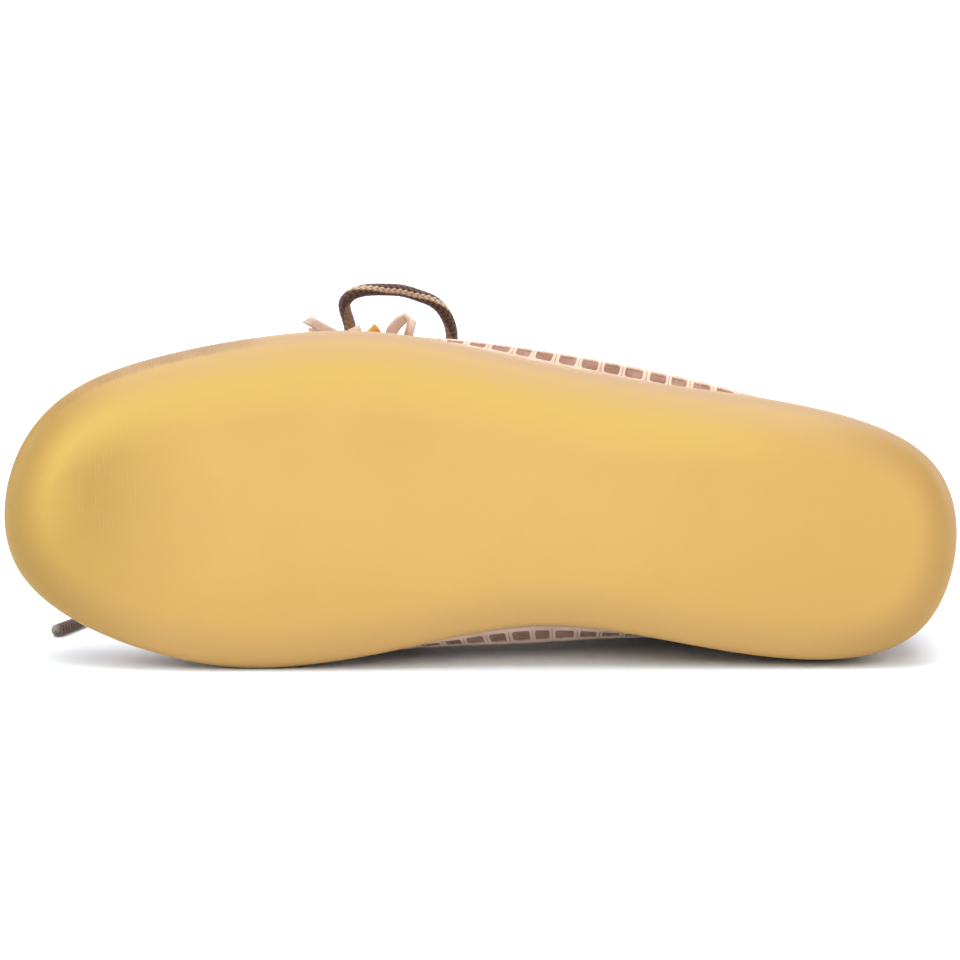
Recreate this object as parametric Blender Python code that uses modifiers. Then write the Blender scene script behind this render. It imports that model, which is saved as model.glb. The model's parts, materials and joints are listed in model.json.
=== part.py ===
"""A left slip-on moccasin with a gum sole, a fringed kiltie and a tied lace, lying on its medial side.

The shoe is modelled standing, in its own axes, and then laid down. In its own axes the toe tip is at
x = 0 and the heel at x = SHOE_LENGTH, +Y is the medial side and +Z is up from the ground. The wall of
the upper is a grid of columns, which run from the sole's edge up to the seam of the toe or to the
collar, and are numbered from the toe tip along the medial side to the heel and back. The apron joins
each column of the medial side to the one across from it.
"""

from collections import namedtuple
import math

import bmesh
import bpy
from mathutils import Matrix, Vector
from mathutils.bvhtree import BVHTree
import numpy as np

# Main sizes, in metres
SHOE_LENGTH = 0.262
BALL_WIDTH = 0.092
BACK_HEIGHT = 0.056  # the collar above the sole, at the back of the heel
INSTEP_CROWN = 0.0115  # the rise of the apron between its two edges, at the throat
FOREFOOT_THICKNESS = 0.010
HEEL_THICKNESS = 0.018
TOE_SPRING = 0.009

# Walls and clearances
GAP = 0.0003
UPPER_WALL = 0.0020
INSOLE_THICKNESS = 0.0040
INSOLE_CLEARANCE = 0.0006
SEAM_RIDGE = 0.0011
SEAM_HALF_WIDTH = 0.0022
THROAT_BOW = 0.006  # how far the middle of the apron's back edge reaches behind its ends

# The sole's edge
EDGE_ROUND_WIDTH = 0.012
EDGE_ROUND_HEIGHT = 0.0060
LIP_HEIGHT = 0.0028
LIP_STEP = 0.0007

# The collar's fold, in which the lace runs
FOLD_DEPTH = 0.0095
FOLD_STEP = 0.0009
FOLD_SLOPE = 0.0012

# The kiltie: two layers of suede with a fringe cut round the front and sides
SUEDE = 0.0011
KILTIE_RADIUS = 0.0255
KILTIE_BACK = 0.0140  # from the middle of the kiltie to its straight back edge
KILTIE_SPREAD = math.radians(113.0)
KILTIE_MIDDLE = 0.845  # as a share of the apron's length from the toe
STRIP_WIDTH = 0.0029
STRIP_GAP = 0.0011
TOP_STRIP_LENGTH = 0.0262
UNDER_STRIP_LENGTH = 0.0246
UNDER_LIFT = 0.0018  # from the apron, which clears the seam that the fringe passes over
LAYER_PITCH = SUEDE + 0.0009
STRIP_DROOP = 0.47  # the steepest slope that a strip takes by itself
FLOOR_BEND = 0.0022  # how early a strip that meets the floor begins to turn along it

# The lace
LACE_DIAMETER = 0.0030
KNOT_LENGTH = 0.0108
KNOT_WIDTH = 0.0104
KNOT_HEIGHT = 0.0075
KNOT_PLACE = (0.1088, -0.0088, 0.0682)

# Resolution
COLUMNS = 72
WALL_SHARES = (0.0, 0.10, 0.22, 0.36, 0.50, 0.63)
APRON_CELLS = 8
SOLE_CELLS = 4
PANEL_RINGS = 3
STRIP_CELLS = 5
BACK_CELLS = 6
DRAPE_STEP = 0.0008
CORD_POINTS = 34
KNOT_SEGMENTS = 14
KNOT_RINGS = 8

# How the forefoot and the heel share the length
SPRING_START = 0.22
WEDGE_START = 0.38
WEDGE_END = 0.74

# The sole's widest line, seen from above: along is a share of SHOE_LENGTH, across of BALL_WIDTH
Rim = namedtuple("Rim", "name medial_along medial_across lateral_along lateral_across")
RIM = (
    Rim("toe", 0.000, -0.057, 0.000, -0.057),
    Rim("toe corner", 0.017, 0.122, 0.016, -0.245),
    Rim("toes", 0.085, 0.279, 0.070, -0.418),
    Rim("tread", 0.165, 0.364, 0.150, -0.513),
    Rim("ball", 0.285, 0.404, 0.300, -0.592),
    Rim("throat", 0.420, 0.348, 0.420, -0.589),
    Rim("waist", 0.553, 0.279, 0.560, -0.510),
    Rim("instep", 0.690, 0.320, 0.700, -0.439),
    Rim("heel breast", 0.865, 0.380, 0.850, -0.371),
    Rim("heel corner", 0.972, 0.260, 0.969, -0.225),
    Rim("heel", 1.000, 0.003, 1.000, 0.003),
)

# The wall's top edge: the apron's seam as far as the throat, and the collar behind it.
# height is a share of BACK_HEIGHT, above the sole.
Top = namedtuple("Top", "name medial_along medial_across lateral_along lateral_across height")
TOP = (
    Top("toe", 0.112, -0.085, 0.112, -0.085, 0.42),
    Top("toe corner", 0.124, 0.020, 0.120, -0.190, 0.43),
    Top("toes", 0.162, 0.098, 0.156, -0.283, 0.46),
    Top("tread", 0.228, 0.152, 0.222, -0.350, 0.52),
    Top("ball", 0.325, 0.182, 0.328, -0.388, 0.61),
    Top("throat", 0.440, 0.184, 0.444, -0.382, 0.72),
    Top("waist", 0.560, 0.212, 0.566, -0.340, 0.74),
    Top("instep", 0.690, 0.262, 0.698, -0.312, 0.76),
    Top("heel breast", 0.835, 0.266, 0.835, -0.262, 0.86),
    Top("heel corner", 0.925, 0.170, 0.925, -0.150, 0.97),
    Top("heel", 0.955, 0.004, 0.955, 0.004, 1.00),
)

# How each column of the wall bends, from the sole to its top. inset, the flares and tuck_out are
# shares of BALL_WIDTH, and rise and tuck_down are shares of BACK_HEIGHT.
Bend = namedtuple("Bend", "name inset rise medial_flare lateral_flare tuck_out tuck_down")
BEND = (
    Bend("toe", 0.048, 0.34, 0.015, 0.015, 0.150, 0.03),
    Bend("toe corner", 0.048, 0.33, 0.015, 0.015, 0.145, 0.04),
    Bend("toes", 0.046, 0.32, 0.018, 0.018, 0.135, 0.06),
    Bend("tread", 0.042, 0.31, 0.020, 0.022, 0.125, 0.09),
    Bend("ball", 0.036, 0.28, 0.030, 0.034, 0.110, 0.16),
    Bend("throat", 0.022, 0.18, 0.066, 0.066, 0.085, 0.30),
    Bend("waist", 0.014, 0.12, 0.144, 0.138, 0.060, 0.44),
    Bend("instep", 0.020, 0.16, 0.034, 0.140, 0.040, 0.42),
    Bend("heel breast", 0.036, 0.28, 0.034, 0.062, 0.030, 0.36),
    Bend("heel corner", 0.040, 0.34, 0.024, 0.024, 0.026, 0.33),
    Bend("heel", 0.040, 0.35, 0.024, 0.024, 0.024, 0.33),
)
THROAT_ROW = 5

# The seam's ridge ends and the collar's fold begins over these columns
RIDGE_FADE = 4

# The lace's routes, in the shoe's own axes. The medial pieces come to lie on the floor.
BAR_MEDIAL = (
    (0.1098, -0.0034, 0.0666),
    (0.1110, 0.0040, 0.0652),
    (0.1130, 0.0108, 0.0624),
    (0.1158, 0.0166, 0.0584),
    (0.1190, 0.0204, 0.0539),
    (0.1212, 0.0214, 0.0499),
)
BAR_LATERAL = (
    (0.1100, -0.0142, 0.0666),
    (0.1112, -0.0214, 0.0652),
    (0.1132, -0.0282, 0.0628),
    (0.1160, -0.0340, 0.0588),
    (0.1194, -0.0378, 0.0540),
    (0.1216, -0.0388, 0.0499),
)
LOOP_LATERAL = (
    (0.1049, -0.0130, 0.0690),
    (0.1012, -0.0208, 0.0682),
    (0.0979, -0.0310, 0.0646),
    (0.0960, -0.0410, 0.0592),
    (0.0952, -0.0495, 0.0538),
    (0.0947, -0.0570, 0.0495),
    (0.0934, -0.0618, 0.0466),
    (0.0934, -0.0641, 0.0448),
    (0.0954, -0.0662, 0.0436),
    (0.0990, -0.0673, 0.0431),
    (0.1040, -0.0675, 0.0428),
    (0.1092, -0.0672, 0.0428),
    (0.1138, -0.0659, 0.0432),
    (0.1182, -0.0641, 0.0441),
    (0.1211, -0.0612, 0.0458),
    (0.1229, -0.0570, 0.0484),
    (0.1232, -0.0520, 0.0512),
    (0.1226, -0.0440, 0.0560),
    (0.1206, -0.0350, 0.0606),
    (0.1170, -0.0250, 0.0660),
    (0.1126, -0.0152, 0.0694),
)
LOOP_MEDIAL = (
    (0.1058, -0.0036, 0.0692),
    (0.1020, 0.0026, 0.0712),
    (0.0990, 0.0095, 0.0736),
    (0.0968, 0.0160, 0.0766),
    (0.0956, 0.0210, 0.0806),
    (0.0956, 0.0206, 0.0860),
    (0.0972, 0.0194, 0.0924),
    (0.1010, 0.0184, 0.0980),
    (0.1070, 0.0177, 0.1014),
    (0.1136, 0.0177, 0.1012),
    (0.1192, 0.0184, 0.0976),
    (0.1226, 0.0195, 0.0918),
    (0.1232, 0.0206, 0.0856),
    (0.1220, 0.0204, 0.0804),
    (0.1196, 0.0150, 0.0766),
    (0.1170, 0.0086, 0.0736),
    (0.1144, 0.0020, 0.0714),
    (0.1116, -0.0040, 0.0698),
)
END_MEDIAL = (
    (0.1029, -0.0078, 0.0684),
    (0.0966, -0.0034, 0.0698),
    (0.0895, 0.0038, 0.0716),
    (0.0825, 0.0115, 0.0732),
    (0.0760, 0.0180, 0.0750),
    (0.0695, 0.0222, 0.0768),
    (0.0620, 0.0222, 0.0784),
    (0.0540, 0.0220, 0.0796),
    (0.0460, 0.0218, 0.0806),
    (0.0380, 0.0217, 0.0814),
    (0.0305, 0.0218, 0.0812),
    (0.0245, 0.0222, 0.0788),
    (0.0214, 0.0240, 0.0695),
    (0.0185, 0.0256, 0.0609),
    (0.0152, 0.0269, 0.0539),
    (0.0124, 0.0279, 0.0480),
)
END_LATERAL = (
    (0.1034, -0.0114, 0.0698),
    (0.0968, -0.0104, 0.0728),
    (0.0912, -0.0054, 0.0758),
    (0.0865, 0.0016, 0.0792),
    (0.0830, 0.0095, 0.0826),
    (0.0795, 0.0165, 0.0856),
    (0.0745, 0.0202, 0.0880),
    (0.0675, 0.0199, 0.0896),
    (0.0590, 0.0198, 0.0904),
    (0.0505, 0.0197, 0.0908),
    (0.0420, 0.0196, 0.0918),
    (0.0340, 0.0192, 0.0938),
    (0.0265, 0.0186, 0.0970),
    (0.0200, 0.0179, 0.1012),
)

Finish = namedtuple("Finish", "name colour roughness")
GUM_RUBBER = Finish("gum_rubber", (0.80, 0.52, 0.16), 0.45)
NUDE_SUEDE = Finish("nude_suede", (0.66, 0.47, 0.38), 0.95)
LINING_LEATHER = Finish("lining_leather", (0.70, 0.55, 0.42), 0.70)
MUSTARD_SUEDE = Finish("mustard_suede", (0.62, 0.36, 0.08), 0.95)
LACE_CORD = Finish("lace_cord", (0.16, 0.08, 0.05), 0.80)

# Densities in kg/m3, which place the shoe's centre of mass
DENSITY = {
    "gum_rubber": 1000.0,
    "nude_suede": 800.0,
    "lining_leather": 600.0,
    "mustard_suede": 800.0,
    "lace_cord": 700.0,
}


def smoothstep(share):
    """0 below 0, 1 above 1 and a smooth rise between."""
    share = np.clip(share, 0.0, 1.0)
    return share * share * (3.0 - 2.0 * share)


def closed_spline(knots, period, values, at):
    """The periodic cubic spline through values at knots, read at the places in at."""
    count = len(knots)
    steps = np.diff(np.append(knots, knots[0] + period))
    rises = (np.roll(values, -1, axis=0) - values) / steps[:, None]
    matrix = np.zeros((count, count))
    for i in range(count):
        matrix[i, i - 1] += steps[i - 1] / 6.0
        matrix[i, i] += (steps[i - 1] + steps[i]) / 3.0
        matrix[i, (i + 1) % count] += steps[i] / 6.0
    bends = np.linalg.solve(matrix, rises - np.roll(rises, 1, axis=0))
    at = np.mod(np.asarray(at, float) - knots[0], period) + knots[0]
    i = np.searchsorted(knots, at, side="right") - 1
    nxt = (i + 1) % count
    h = steps[i][:, None]
    b = (at - knots[i])[:, None] / h
    a = 1.0 - b
    curve = (a**3 - a) * bends[i] + (b**3 - b) * bends[nxt]
    return a * values[i] + b * values[nxt] + curve * h * h / 6.0


def both_sides(rows, medial, lateral):
    """The rows' values in the order of the columns: toe, medial side, heel, lateral side."""
    forth = [medial(row) for row in rows]
    back = [lateral(row) for row in rows[-2:0:-1]]
    return np.array(forth + back, float)


def rim_knots():
    """The column of each rim row, from the mean distance along the two sides."""
    scale = np.array([SHOE_LENGTH, BALL_WIDTH])
    medial = np.array([(r.medial_along, r.medial_across) for r in RIM]) * scale
    lateral = np.array([(r.lateral_along, r.lateral_across) for r in RIM]) * scale
    steps = np.linalg.norm(np.diff(medial, axis=0), axis=1)
    steps = (steps + np.linalg.norm(np.diff(lateral, axis=0), axis=1)) / 2.0
    half = np.append(0.0, np.cumsum(steps)) / steps.sum() * (COLUMNS / 2.0)
    return np.append(half, COLUMNS - half[-2:0:-1])


KNOTS = rim_knots()
THROAT_COLUMN = int(round(KNOTS[THROAT_ROW]))


def rim_at(columns):
    """Points of the sole's widest line, in plan, and the outward direction at each."""
    values = both_sides(
        RIM,
        lambda r: (r.medial_along * SHOE_LENGTH, r.medial_across * BALL_WIDTH),
        lambda r: (r.lateral_along * SHOE_LENGTH, r.lateral_across * BALL_WIDTH),
    )
    nudge = 0.05
    points = closed_spline(KNOTS, COLUMNS, values, columns)
    ahead = closed_spline(KNOTS, COLUMNS, values, np.asarray(columns) + nudge)
    behind = closed_spline(KNOTS, COLUMNS, values, np.asarray(columns) - nudge)
    run = ahead - behind
    run /= np.linalg.norm(run, axis=1)[:, None]
    return points, np.stack([-run[:, 1], run[:, 0]], axis=1)


def spring(x):
    """How far the toe's spring lifts the sole at x."""
    share = np.clip((SPRING_START - x / SHOE_LENGTH) / SPRING_START, 0.0, None)
    return TOE_SPRING * share**2


def sole_top(x):
    """Height of the sole's top above the ground at x."""
    wedge = smoothstep((x / SHOE_LENGTH - WEDGE_START) / (WEDGE_END - WEDGE_START))
    return spring(x) + FOREFOOT_THICKNESS + (HEEL_THICKNESS - FOREFOOT_THICKNESS) * wedge


def top_edge(columns):
    """The wall's top edge: the apron's seam and the collar."""
    values = both_sides(
        TOP,
        lambda r: (r.medial_along * SHOE_LENGTH, r.medial_across * BALL_WIDTH, r.height),
        lambda r: (r.lateral_along * SHOE_LENGTH, r.lateral_across * BALL_WIDTH, r.height),
    )
    edge = closed_spline(KNOTS, COLUMNS, values, columns)
    edge[:, 2] = edge[:, 2] * BACK_HEIGHT + sole_top(edge[:, 0])
    return edge


def wall_at(columns, share):
    """Points of the wall's outer face at a share of the way from the sole to the top edge."""
    rim, outward = rim_at(columns)
    bend = closed_spline(
        KNOTS,
        COLUMNS,
        both_sides(
            BEND,
            lambda r: (r.inset, r.rise, r.medial_flare, r.tuck_out, r.tuck_down),
            lambda r: (r.inset, r.rise, r.lateral_flare, r.tuck_out, r.tuck_down),
        ),
        columns,
    )
    inset, flare, tuck_out = (bend[:, [i]] * BALL_WIDTH for i in (0, 2, 3))
    rise, tuck_down = (bend[:, i] * BACK_HEIGHT for i in (1, 4))
    foot_plan = rim - outward * inset
    foot = np.column_stack([foot_plan, sole_top(foot_plan[:, 0]) + GAP])
    lower = np.column_stack([foot_plan + outward * flare, foot[:, 2] + rise])
    top = top_edge(columns)
    upper = np.column_stack([top[:, :2] + outward * tuck_out, top[:, 2] - tuck_down])
    rest = 1.0 - share
    return (
        rest**3 * foot
        + 3.0 * rest**2 * share * lower
        + 3.0 * rest * share**2 * upper
        + share**3 * top
    )


def wall_frame(columns, share):
    """Points of the wall's outer face and its outward normals."""
    columns = np.asarray(columns, float)
    nudge = 0.01
    low, high = max(share - nudge, 0.0), min(share + nudge, 1.0)
    up = wall_at(columns, high) - wall_at(columns, low)
    run = wall_at(columns + nudge, share) - wall_at(columns - nudge, share)
    normal = np.cross(up, run)
    normal /= np.linalg.norm(normal, axis=1)[:, None]
    return wall_at(columns, share), normal


def apron_at(column, share):
    """A point of the apron: column counts from the toe tip, share runs from medial to lateral."""
    medial, lateral = top_edge([column, COLUMNS - column])
    hump = 1.0 - (2.0 * share - 1.0) ** 2
    part = column / THROAT_COLUMN
    point = medial * (1.0 - share) + lateral * share
    point[0] += THROAT_BOW * hump * part**3
    point[2] += INSTEP_CROWN * hump * part
    return point


def new_object(name, mesh, finish, collection):
    """Links an object with a mesh and its material, shaded smooth but for sharp edges."""
    material = bpy.data.materials.get(finish.name) or bpy.data.materials.new(finish.name)
    material.use_nodes = True
    shader = material.node_tree.nodes["Principled BSDF"]
    shader.inputs["Base Color"].default_value = (*finish.colour, 1.0)
    shader.inputs["Roughness"].default_value = finish.roughness
    shader.inputs["Metallic"].default_value = 0.0
    mesh.materials.append(material)
    mesh.shade_smooth()
    mesh.set_sharp_from_angle(angle=math.radians(40.0))
    obj = bpy.data.objects.new(name, mesh)
    collection.objects.link(obj)
    return obj


def to_mesh(name, bm):
    """The mesh of a bmesh, which is freed."""
    mesh = bpy.data.meshes.new(name)
    bm.to_mesh(mesh)
    bm.free()
    return mesh


def add_ring(bm, points):
    """Vertices at the points of a ring."""
    return [bm.verts.new(point) for point in points]


def bridge(bm, lower, upper, closed=True):
    """Quads between two rings whose columns run from the toe to the medial side, facing out."""
    count = len(lower)
    for i in range(count if closed else count - 1):
        j = (i + 1) % count
        bm.faces.new((lower[i], upper[i], upper[j], lower[j]))


def ladder(bm, ring, cells, last, place, facing_up):
    """Fills a ring with rows from each medial column to the lateral one across from it.

    place(column, share) gives an inner point, last is the last column that has a row, and a ring
    that is filled as far as the heel ends in a fan, as it starts in one at the toe.
    """
    count = len(ring)
    ends_at_heel = last * 2 == count
    rows = [[ring[0]]]
    for column in range(1, last + (not ends_at_heel)):
        inner = [bm.verts.new(place(column, i / cells)) for i in range(1, cells)]
        rows.append([ring[column], *inner, ring[count - column]])
    if ends_at_heel:
        rows.append([ring[last]])
    for front, back in zip(rows, rows[1:]):
        for i in range(cells):
            corners = [front[min(i, len(front) - 1)], front[min(i + 1, len(front) - 1)]]
            corners += [back[min(i + 1, len(back) - 1)], back[min(i, len(back) - 1)]]
            face = list(dict.fromkeys(corners))
            bm.faces.new(face if facing_up else face[::-1])
    return rows[-1]


def make_outsole(collection):
    """The gum sole: flat underneath, rounded up at its edge, sprung at the toe, wedged at the heel."""
    columns = np.arange(COLUMNS)
    rim, outward = rim_at(columns)
    bm = bmesh.new()
    rings = []
    round_steps = 4
    for i in range(round_steps + 1):
        angle = math.pi / 2.0 * i / round_steps
        plan = rim - outward * EDGE_ROUND_WIDTH * (1.0 - math.sin(angle))
        height = spring(plan[:, 0]) + EDGE_ROUND_HEIGHT * (1.0 - math.cos(angle))
        rings.append(add_ring(bm, np.column_stack([plan, height])))
    for inset, below in ((0.0, LIP_HEIGHT), (LIP_STEP, LIP_HEIGHT - LIP_STEP), (LIP_STEP, LIP_STEP)):
        plan = rim - outward * inset
        rings.append(add_ring(bm, np.column_stack([plan, sole_top(plan[:, 0]) - below])))
    plan = rim - outward * LIP_STEP * 2.0
    rings.append(add_ring(bm, np.column_stack([plan, sole_top(plan[:, 0])])))
    for lower, upper in zip(rings, rings[1:]):
        bridge(bm, lower, upper)
    base = rim - outward * EDGE_ROUND_WIDTH

    def across(points, height, column, share):
        plan = points[column] * (1.0 - share) + points[COLUMNS - column] * share
        return (*plan, height(plan[0]))

    half = COLUMNS // 2
    ladder(bm, rings[0], SOLE_CELLS, half, lambda c, s: across(base, spring, c, s), False)
    ladder(bm, rings[-1], SOLE_CELLS, half, lambda c, s: across(plan, sole_top, c, s), True)
    return new_object("outsole", to_mesh("outsole", bm), GUM_RUBBER, collection)


def make_insole(collection):
    """The insole, inside the wall's foot and on the sole."""
    columns = np.arange(COLUMNS)
    foot, _ = wall_frame(columns, 0.0)
    _, outward = rim_at(columns)
    plan = foot[:, :2] - outward * (UPPER_WALL + INSOLE_CLEARANCE)
    bm = bmesh.new()
    rings = []
    for lift in (GAP, INSOLE_THICKNESS):
        rings.append(add_ring(bm, np.column_stack([plan, sole_top(plan[:, 0]) + lift])))
    bridge(bm, rings[0], rings[1])

    def across(lift, column, share):
        middle = plan[column] * (1.0 - share) + plan[COLUMNS - column] * share
        return (*middle, sole_top(middle[0]) + lift)

    half = COLUMNS // 2
    ladder(bm, rings[0], SOLE_CELLS, half, lambda c, s: across(GAP, c, s), False)
    ladder(bm, rings[1], SOLE_CELLS, half, lambda c, s: across(INSOLE_THICKNESS, c, s), True)
    return new_object("insole", to_mesh("insole", bm), LINING_LEATHER, collection)


def ridge_share(column):
    """How much of the seam's ridge a column has: all at the toe, none behind the throat."""
    from_toe = min(column, COLUMNS - column)
    return float(smoothstep((THROAT_COLUMN - from_toe) / RIDGE_FADE + 0.5))


def upper_surface(ridge):
    """The upper's outer surface as a bmesh, open at the collar and underneath."""
    columns = np.arange(COLUMNS)
    seamed = np.array([ridge_share(c) for c in columns])[:, None]
    top, normal = wall_frame(columns, 1.0)
    reach = np.linalg.norm(wall_at(columns, WALL_SHARES[-1]) - top, axis=1)[:, None]
    span = 1.0 - WALL_SHARES[-1]

    def near_top(depth, proud):
        """A row at a depth below the top edge, standing proud of the wall."""
        rest = depth / reach * span
        row = np.array([wall_at([c], 1.0 - rest[c, 0])[0] for c in columns])
        return row + normal * proud

    bm = bmesh.new()
    rows = [add_ring(bm, wall_at(columns, share)) for share in WALL_SHARES]
    fold = FOLD_STEP * (1.0 - seamed)
    rows.append(add_ring(bm, near_top(FOLD_DEPTH + FOLD_SLOPE, 0.0)))
    rows.append(add_ring(bm, near_top(FOLD_DEPTH, fold)))
    rows.append(add_ring(bm, near_top(SEAM_HALF_WIDTH, fold)))
    rows.append(add_ring(bm, top + normal * ridge * seamed))
    for lower, upper in zip(rows, rows[1:]):
        bridge(bm, lower, upper)
    cells = APRON_CELLS + 2

    def place(column, share):
        """Rows of even cells between two narrow ones, which are the seam's inner slope."""
        medial, lateral = top_edge([column, COLUMNS - column])
        narrow = min(SEAM_HALF_WIDTH / np.linalg.norm(medial - lateral), 1.0 / cells)
        inner = (share * cells - 1.0) / (cells - 2.0)
        return apron_at(column, narrow + inner * (1.0 - 2.0 * narrow))

    ladder(bm, rows[-1], cells, THROAT_COLUMN, place, True)
    return bm


def make_upper(collection):
    """The upper: the woven wall and the apron as one shell of one thickness."""
    upper = new_object("upper", to_mesh("upper", upper_surface(SEAM_RIDGE)), NUDE_SUEDE, collection)
    shell = upper.modifiers.new("wall", "SOLIDIFY")
    shell.thickness = UPPER_WALL
    shell.offset = -1.0
    shell.use_even_offset = True
    return upper


def solid_of(obj):
    """The corners, volume and centre of an object's finished mesh."""
    graph = bpy.context.evaluated_depsgraph_get()
    bm = bmesh.new()
    bm.from_object(obj, graph)
    bmesh.ops.triangulate(bm, faces=bm.faces)
    points = np.array([v.co for v in bm.verts])
    corners = np.array([[v.co for v in f.verts] for f in bm.faces])
    bm.free()
    parts = np.einsum("ij,ij->i", corners[:, 0], np.cross(corners[:, 1], corners[:, 2])) / 6.0
    volume = parts.sum()
    return points, volume, (corners.sum(axis=1) / 4.0 * parts[:, None]).sum(axis=0) / volume


def resting_plane(heavy, touching):
    """The floor under the shoe on its medial side: a point on it and its normal into the shoe.

    The floor is the face of the touching pieces' hull that the centre of mass of the heavy pieces
    stands over.
    """
    weights, centres = [], []
    for obj in heavy:
        _, volume, centre = solid_of(obj)
        weights.append(volume * DENSITY[obj.data.materials[0].name])
        centres.append(centre)
    mass_centre = Vector(np.average(centres, axis=0, weights=weights))
    hull = bmesh.new()
    for obj in touching:
        for point in solid_of(obj)[0]:
            hull.verts.new(point)
    bmesh.ops.convex_hull(hull, input=hull.verts)
    best = None
    for face in hull.faces:
        face.normal_update()
        point = face.verts[0].co
        outward = face.normal if face.normal.dot(mass_centre - point) < 0.0 else -face.normal
        height = (point - mass_centre).dot(outward)
        foot = mass_centre + outward * height
        if outward.y < 0.5 or not bmesh.geometry.intersect_face_point(face, foot):
            continue
        if best is None or height < best[0]:
            best = (height, point.copy(), -outward)
    hull.free()
    return best[1], best[2]


class Drape:
    """The upper's outer surface and the floor, on which the kiltie's suede lies."""

    def __init__(self, floor_point, floor_normal):
        bare = upper_surface(0.0)
        self.tree = BVHTree.FromBMesh(bare)
        bare.free()
        self.floor_point = floor_point
        self.floor_normal = floor_normal
        self.away = Vector((0.0, 0.0, 1.0))
        self.away -= floor_normal * floor_normal.z
        self.away.normalize()

    def height(self, x, y):
        """Height of the upper's surface in plan, or None beside it."""
        hit = self.tree.ray_cast(Vector((x, y, SHOE_LENGTH)), Vector((0.0, 0.0, -1.0)))
        return hit[0].z if hit[0] is not None else None

    def strip(self, start, direction, length, lift):
        """Points along a strip's edge, which follows the upper but droops no steeper than it can."""
        points = []
        here, travelled, slope = start.copy(), 0.0, 0.0
        marks = [length * (i + 1) / STRIP_CELLS for i in range(STRIP_CELLS)]
        while marks:
            run = DRAPE_STEP / math.sqrt(1.0 + slope * slope)
            there = here + direction * run
            there.z = here.z - STRIP_DROOP * run
            surface = self.height(there.x, there.y)
            if surface is not None:
                there.z = max(there.z, surface + lift)
            travelled += (there - here).length
            slope = (there.z - here.z) / run
            here = there
            if travelled >= marks[0]:
                points.append(here.copy())
                marks.pop(0)
        return points

    def turned_by_floor(self, point, clearance):
        """The point, moved off the floor and along it by as much as it would have sunk."""
        above = (point - self.floor_point).dot(self.floor_normal) - clearance
        sunk = math.log1p(math.exp(-above / FLOOR_BEND)) * FLOOR_BEND
        return point + self.floor_normal * sunk + self.away * sunk


def make_kiltie(name, drape, finish, layer, strip_length, collection):
    """A fringed layer of the kiltie: a fan of suede over the apron, cut into strips all round.

    layer counts the layers from the apron up. Every second layer's strips lie between the others'.
    """
    lift = UNDER_LIFT + layer * LAYER_PITCH
    clearance = GAP * 2.0 + layer * LAYER_PITCH
    middle = Vector(apron_at(THROAT_COLUMN * KILTIE_MIDDLE, 0.5)) * Vector((1.0, 1.0, 0.0))
    step = (STRIP_WIDTH + STRIP_GAP) / KILTIE_RADIUS
    count = int(2.0 * KILTIE_SPREAD / step) - layer % 2
    half_strip = STRIP_WIDTH / KILTIE_RADIUS / 2.0
    angles = []
    for i in range(count):
        centre = (i - (count - 1) / 2.0) * step
        angles += [centre - half_strip, centre + half_strip]
    behind = 2.0 * math.pi - 2.0 * angles[-1]
    angles += [angles[-1] + behind * (i + 1) / BACK_CELLS for i in range(BACK_CELLS - 1)]

    def direction(angle):
        return Vector((-math.cos(angle), math.sin(angle), 0.0))

    def radius(angle):
        """The panel's reach: round, but for its straight back edge."""
        back = -math.cos(angle)
        return min(KILTIE_RADIUS, KILTIE_BACK / back) if back > 0.0 else KILTIE_RADIUS

    def lifted(place):
        return Vector((place.x, place.y, drape.height(place.x, place.y) + lift))

    bm = bmesh.new()

    def settled(point):
        return bm.verts.new(drape.turned_by_floor(point, clearance))

    centre = settled(lifted(middle))
    rings = []
    for ring in range(1, PANEL_RINGS + 1):
        share = ring / PANEL_RINGS
        places = [middle + direction(a) * radius(a) * share for a in angles]
        rings.append([settled(lifted(place)) for place in places])
    for a, b in zip(rings[0], rings[0][1:] + rings[0][:1]):
        bm.faces.new((centre, b, a))
    for inner, outer in zip(rings, rings[1:]):
        for i in range(len(angles)):
            j = (i + 1) % len(angles)
            bm.faces.new((inner[i], inner[j], outer[j], outer[i]))
    for i in range(count):
        heading = direction((angles[2 * i] + angles[2 * i + 1]) / 2.0)
        roots = [lifted(middle + direction(a) * KILTIE_RADIUS) for a in angles[2 * i : 2 * i + 2]]
        edges = [drape.strip(root, heading, strip_length, lift) for root in roots]
        last = (rings[-1][2 * i], rings[-1][2 * i + 1])
        for left, right in zip(*edges):
            pair = (settled(left), settled(right))
            bm.faces.new((last[0], last[1], pair[1], pair[0]))
            last = pair
    bmesh.ops.recalc_face_normals(bm, faces=bm.faces)
    if sum(face.normal.z for face in bm.faces) < 0.0:
        bmesh.ops.reverse_faces(bm, faces=bm.faces)
    kiltie = new_object(name, to_mesh(name, bm), finish, collection)
    sheet = kiltie.modifiers.new("suede", "SOLIDIFY")
    sheet.thickness = SUEDE
    sheet.offset = 1.0
    return kiltie


def smooth_route(route, count):
    """Evenly spaced points on the smooth curve through a route's own points."""
    points = np.array(route)
    ahead = np.vstack([points[:1], points[:-1]])
    behind = np.vstack([points[1:], points[-1:]])
    tangents = (behind - ahead) / 2.0
    fine = []
    per_span = 12
    for i in range(len(points) - 1):
        for j in range(per_span):
            t = j / per_span
            fine.append(
                (2 * t**3 - 3 * t**2 + 1) * points[i]
                + (t**3 - 2 * t**2 + t) * tangents[i]
                + (3 * t**2 - 2 * t**3) * points[i + 1]
                + (t**3 - t**2) * tangents[i + 1]
            )
    fine.append(points[-1])
    fine = np.array(fine)
    along = np.append(0.0, np.cumsum(np.linalg.norm(np.diff(fine, axis=0), axis=1)))
    even = np.linspace(0.0, along[-1], count)
    return np.column_stack([np.interp(even, along, fine[:, k]) for k in range(3)])


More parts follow.
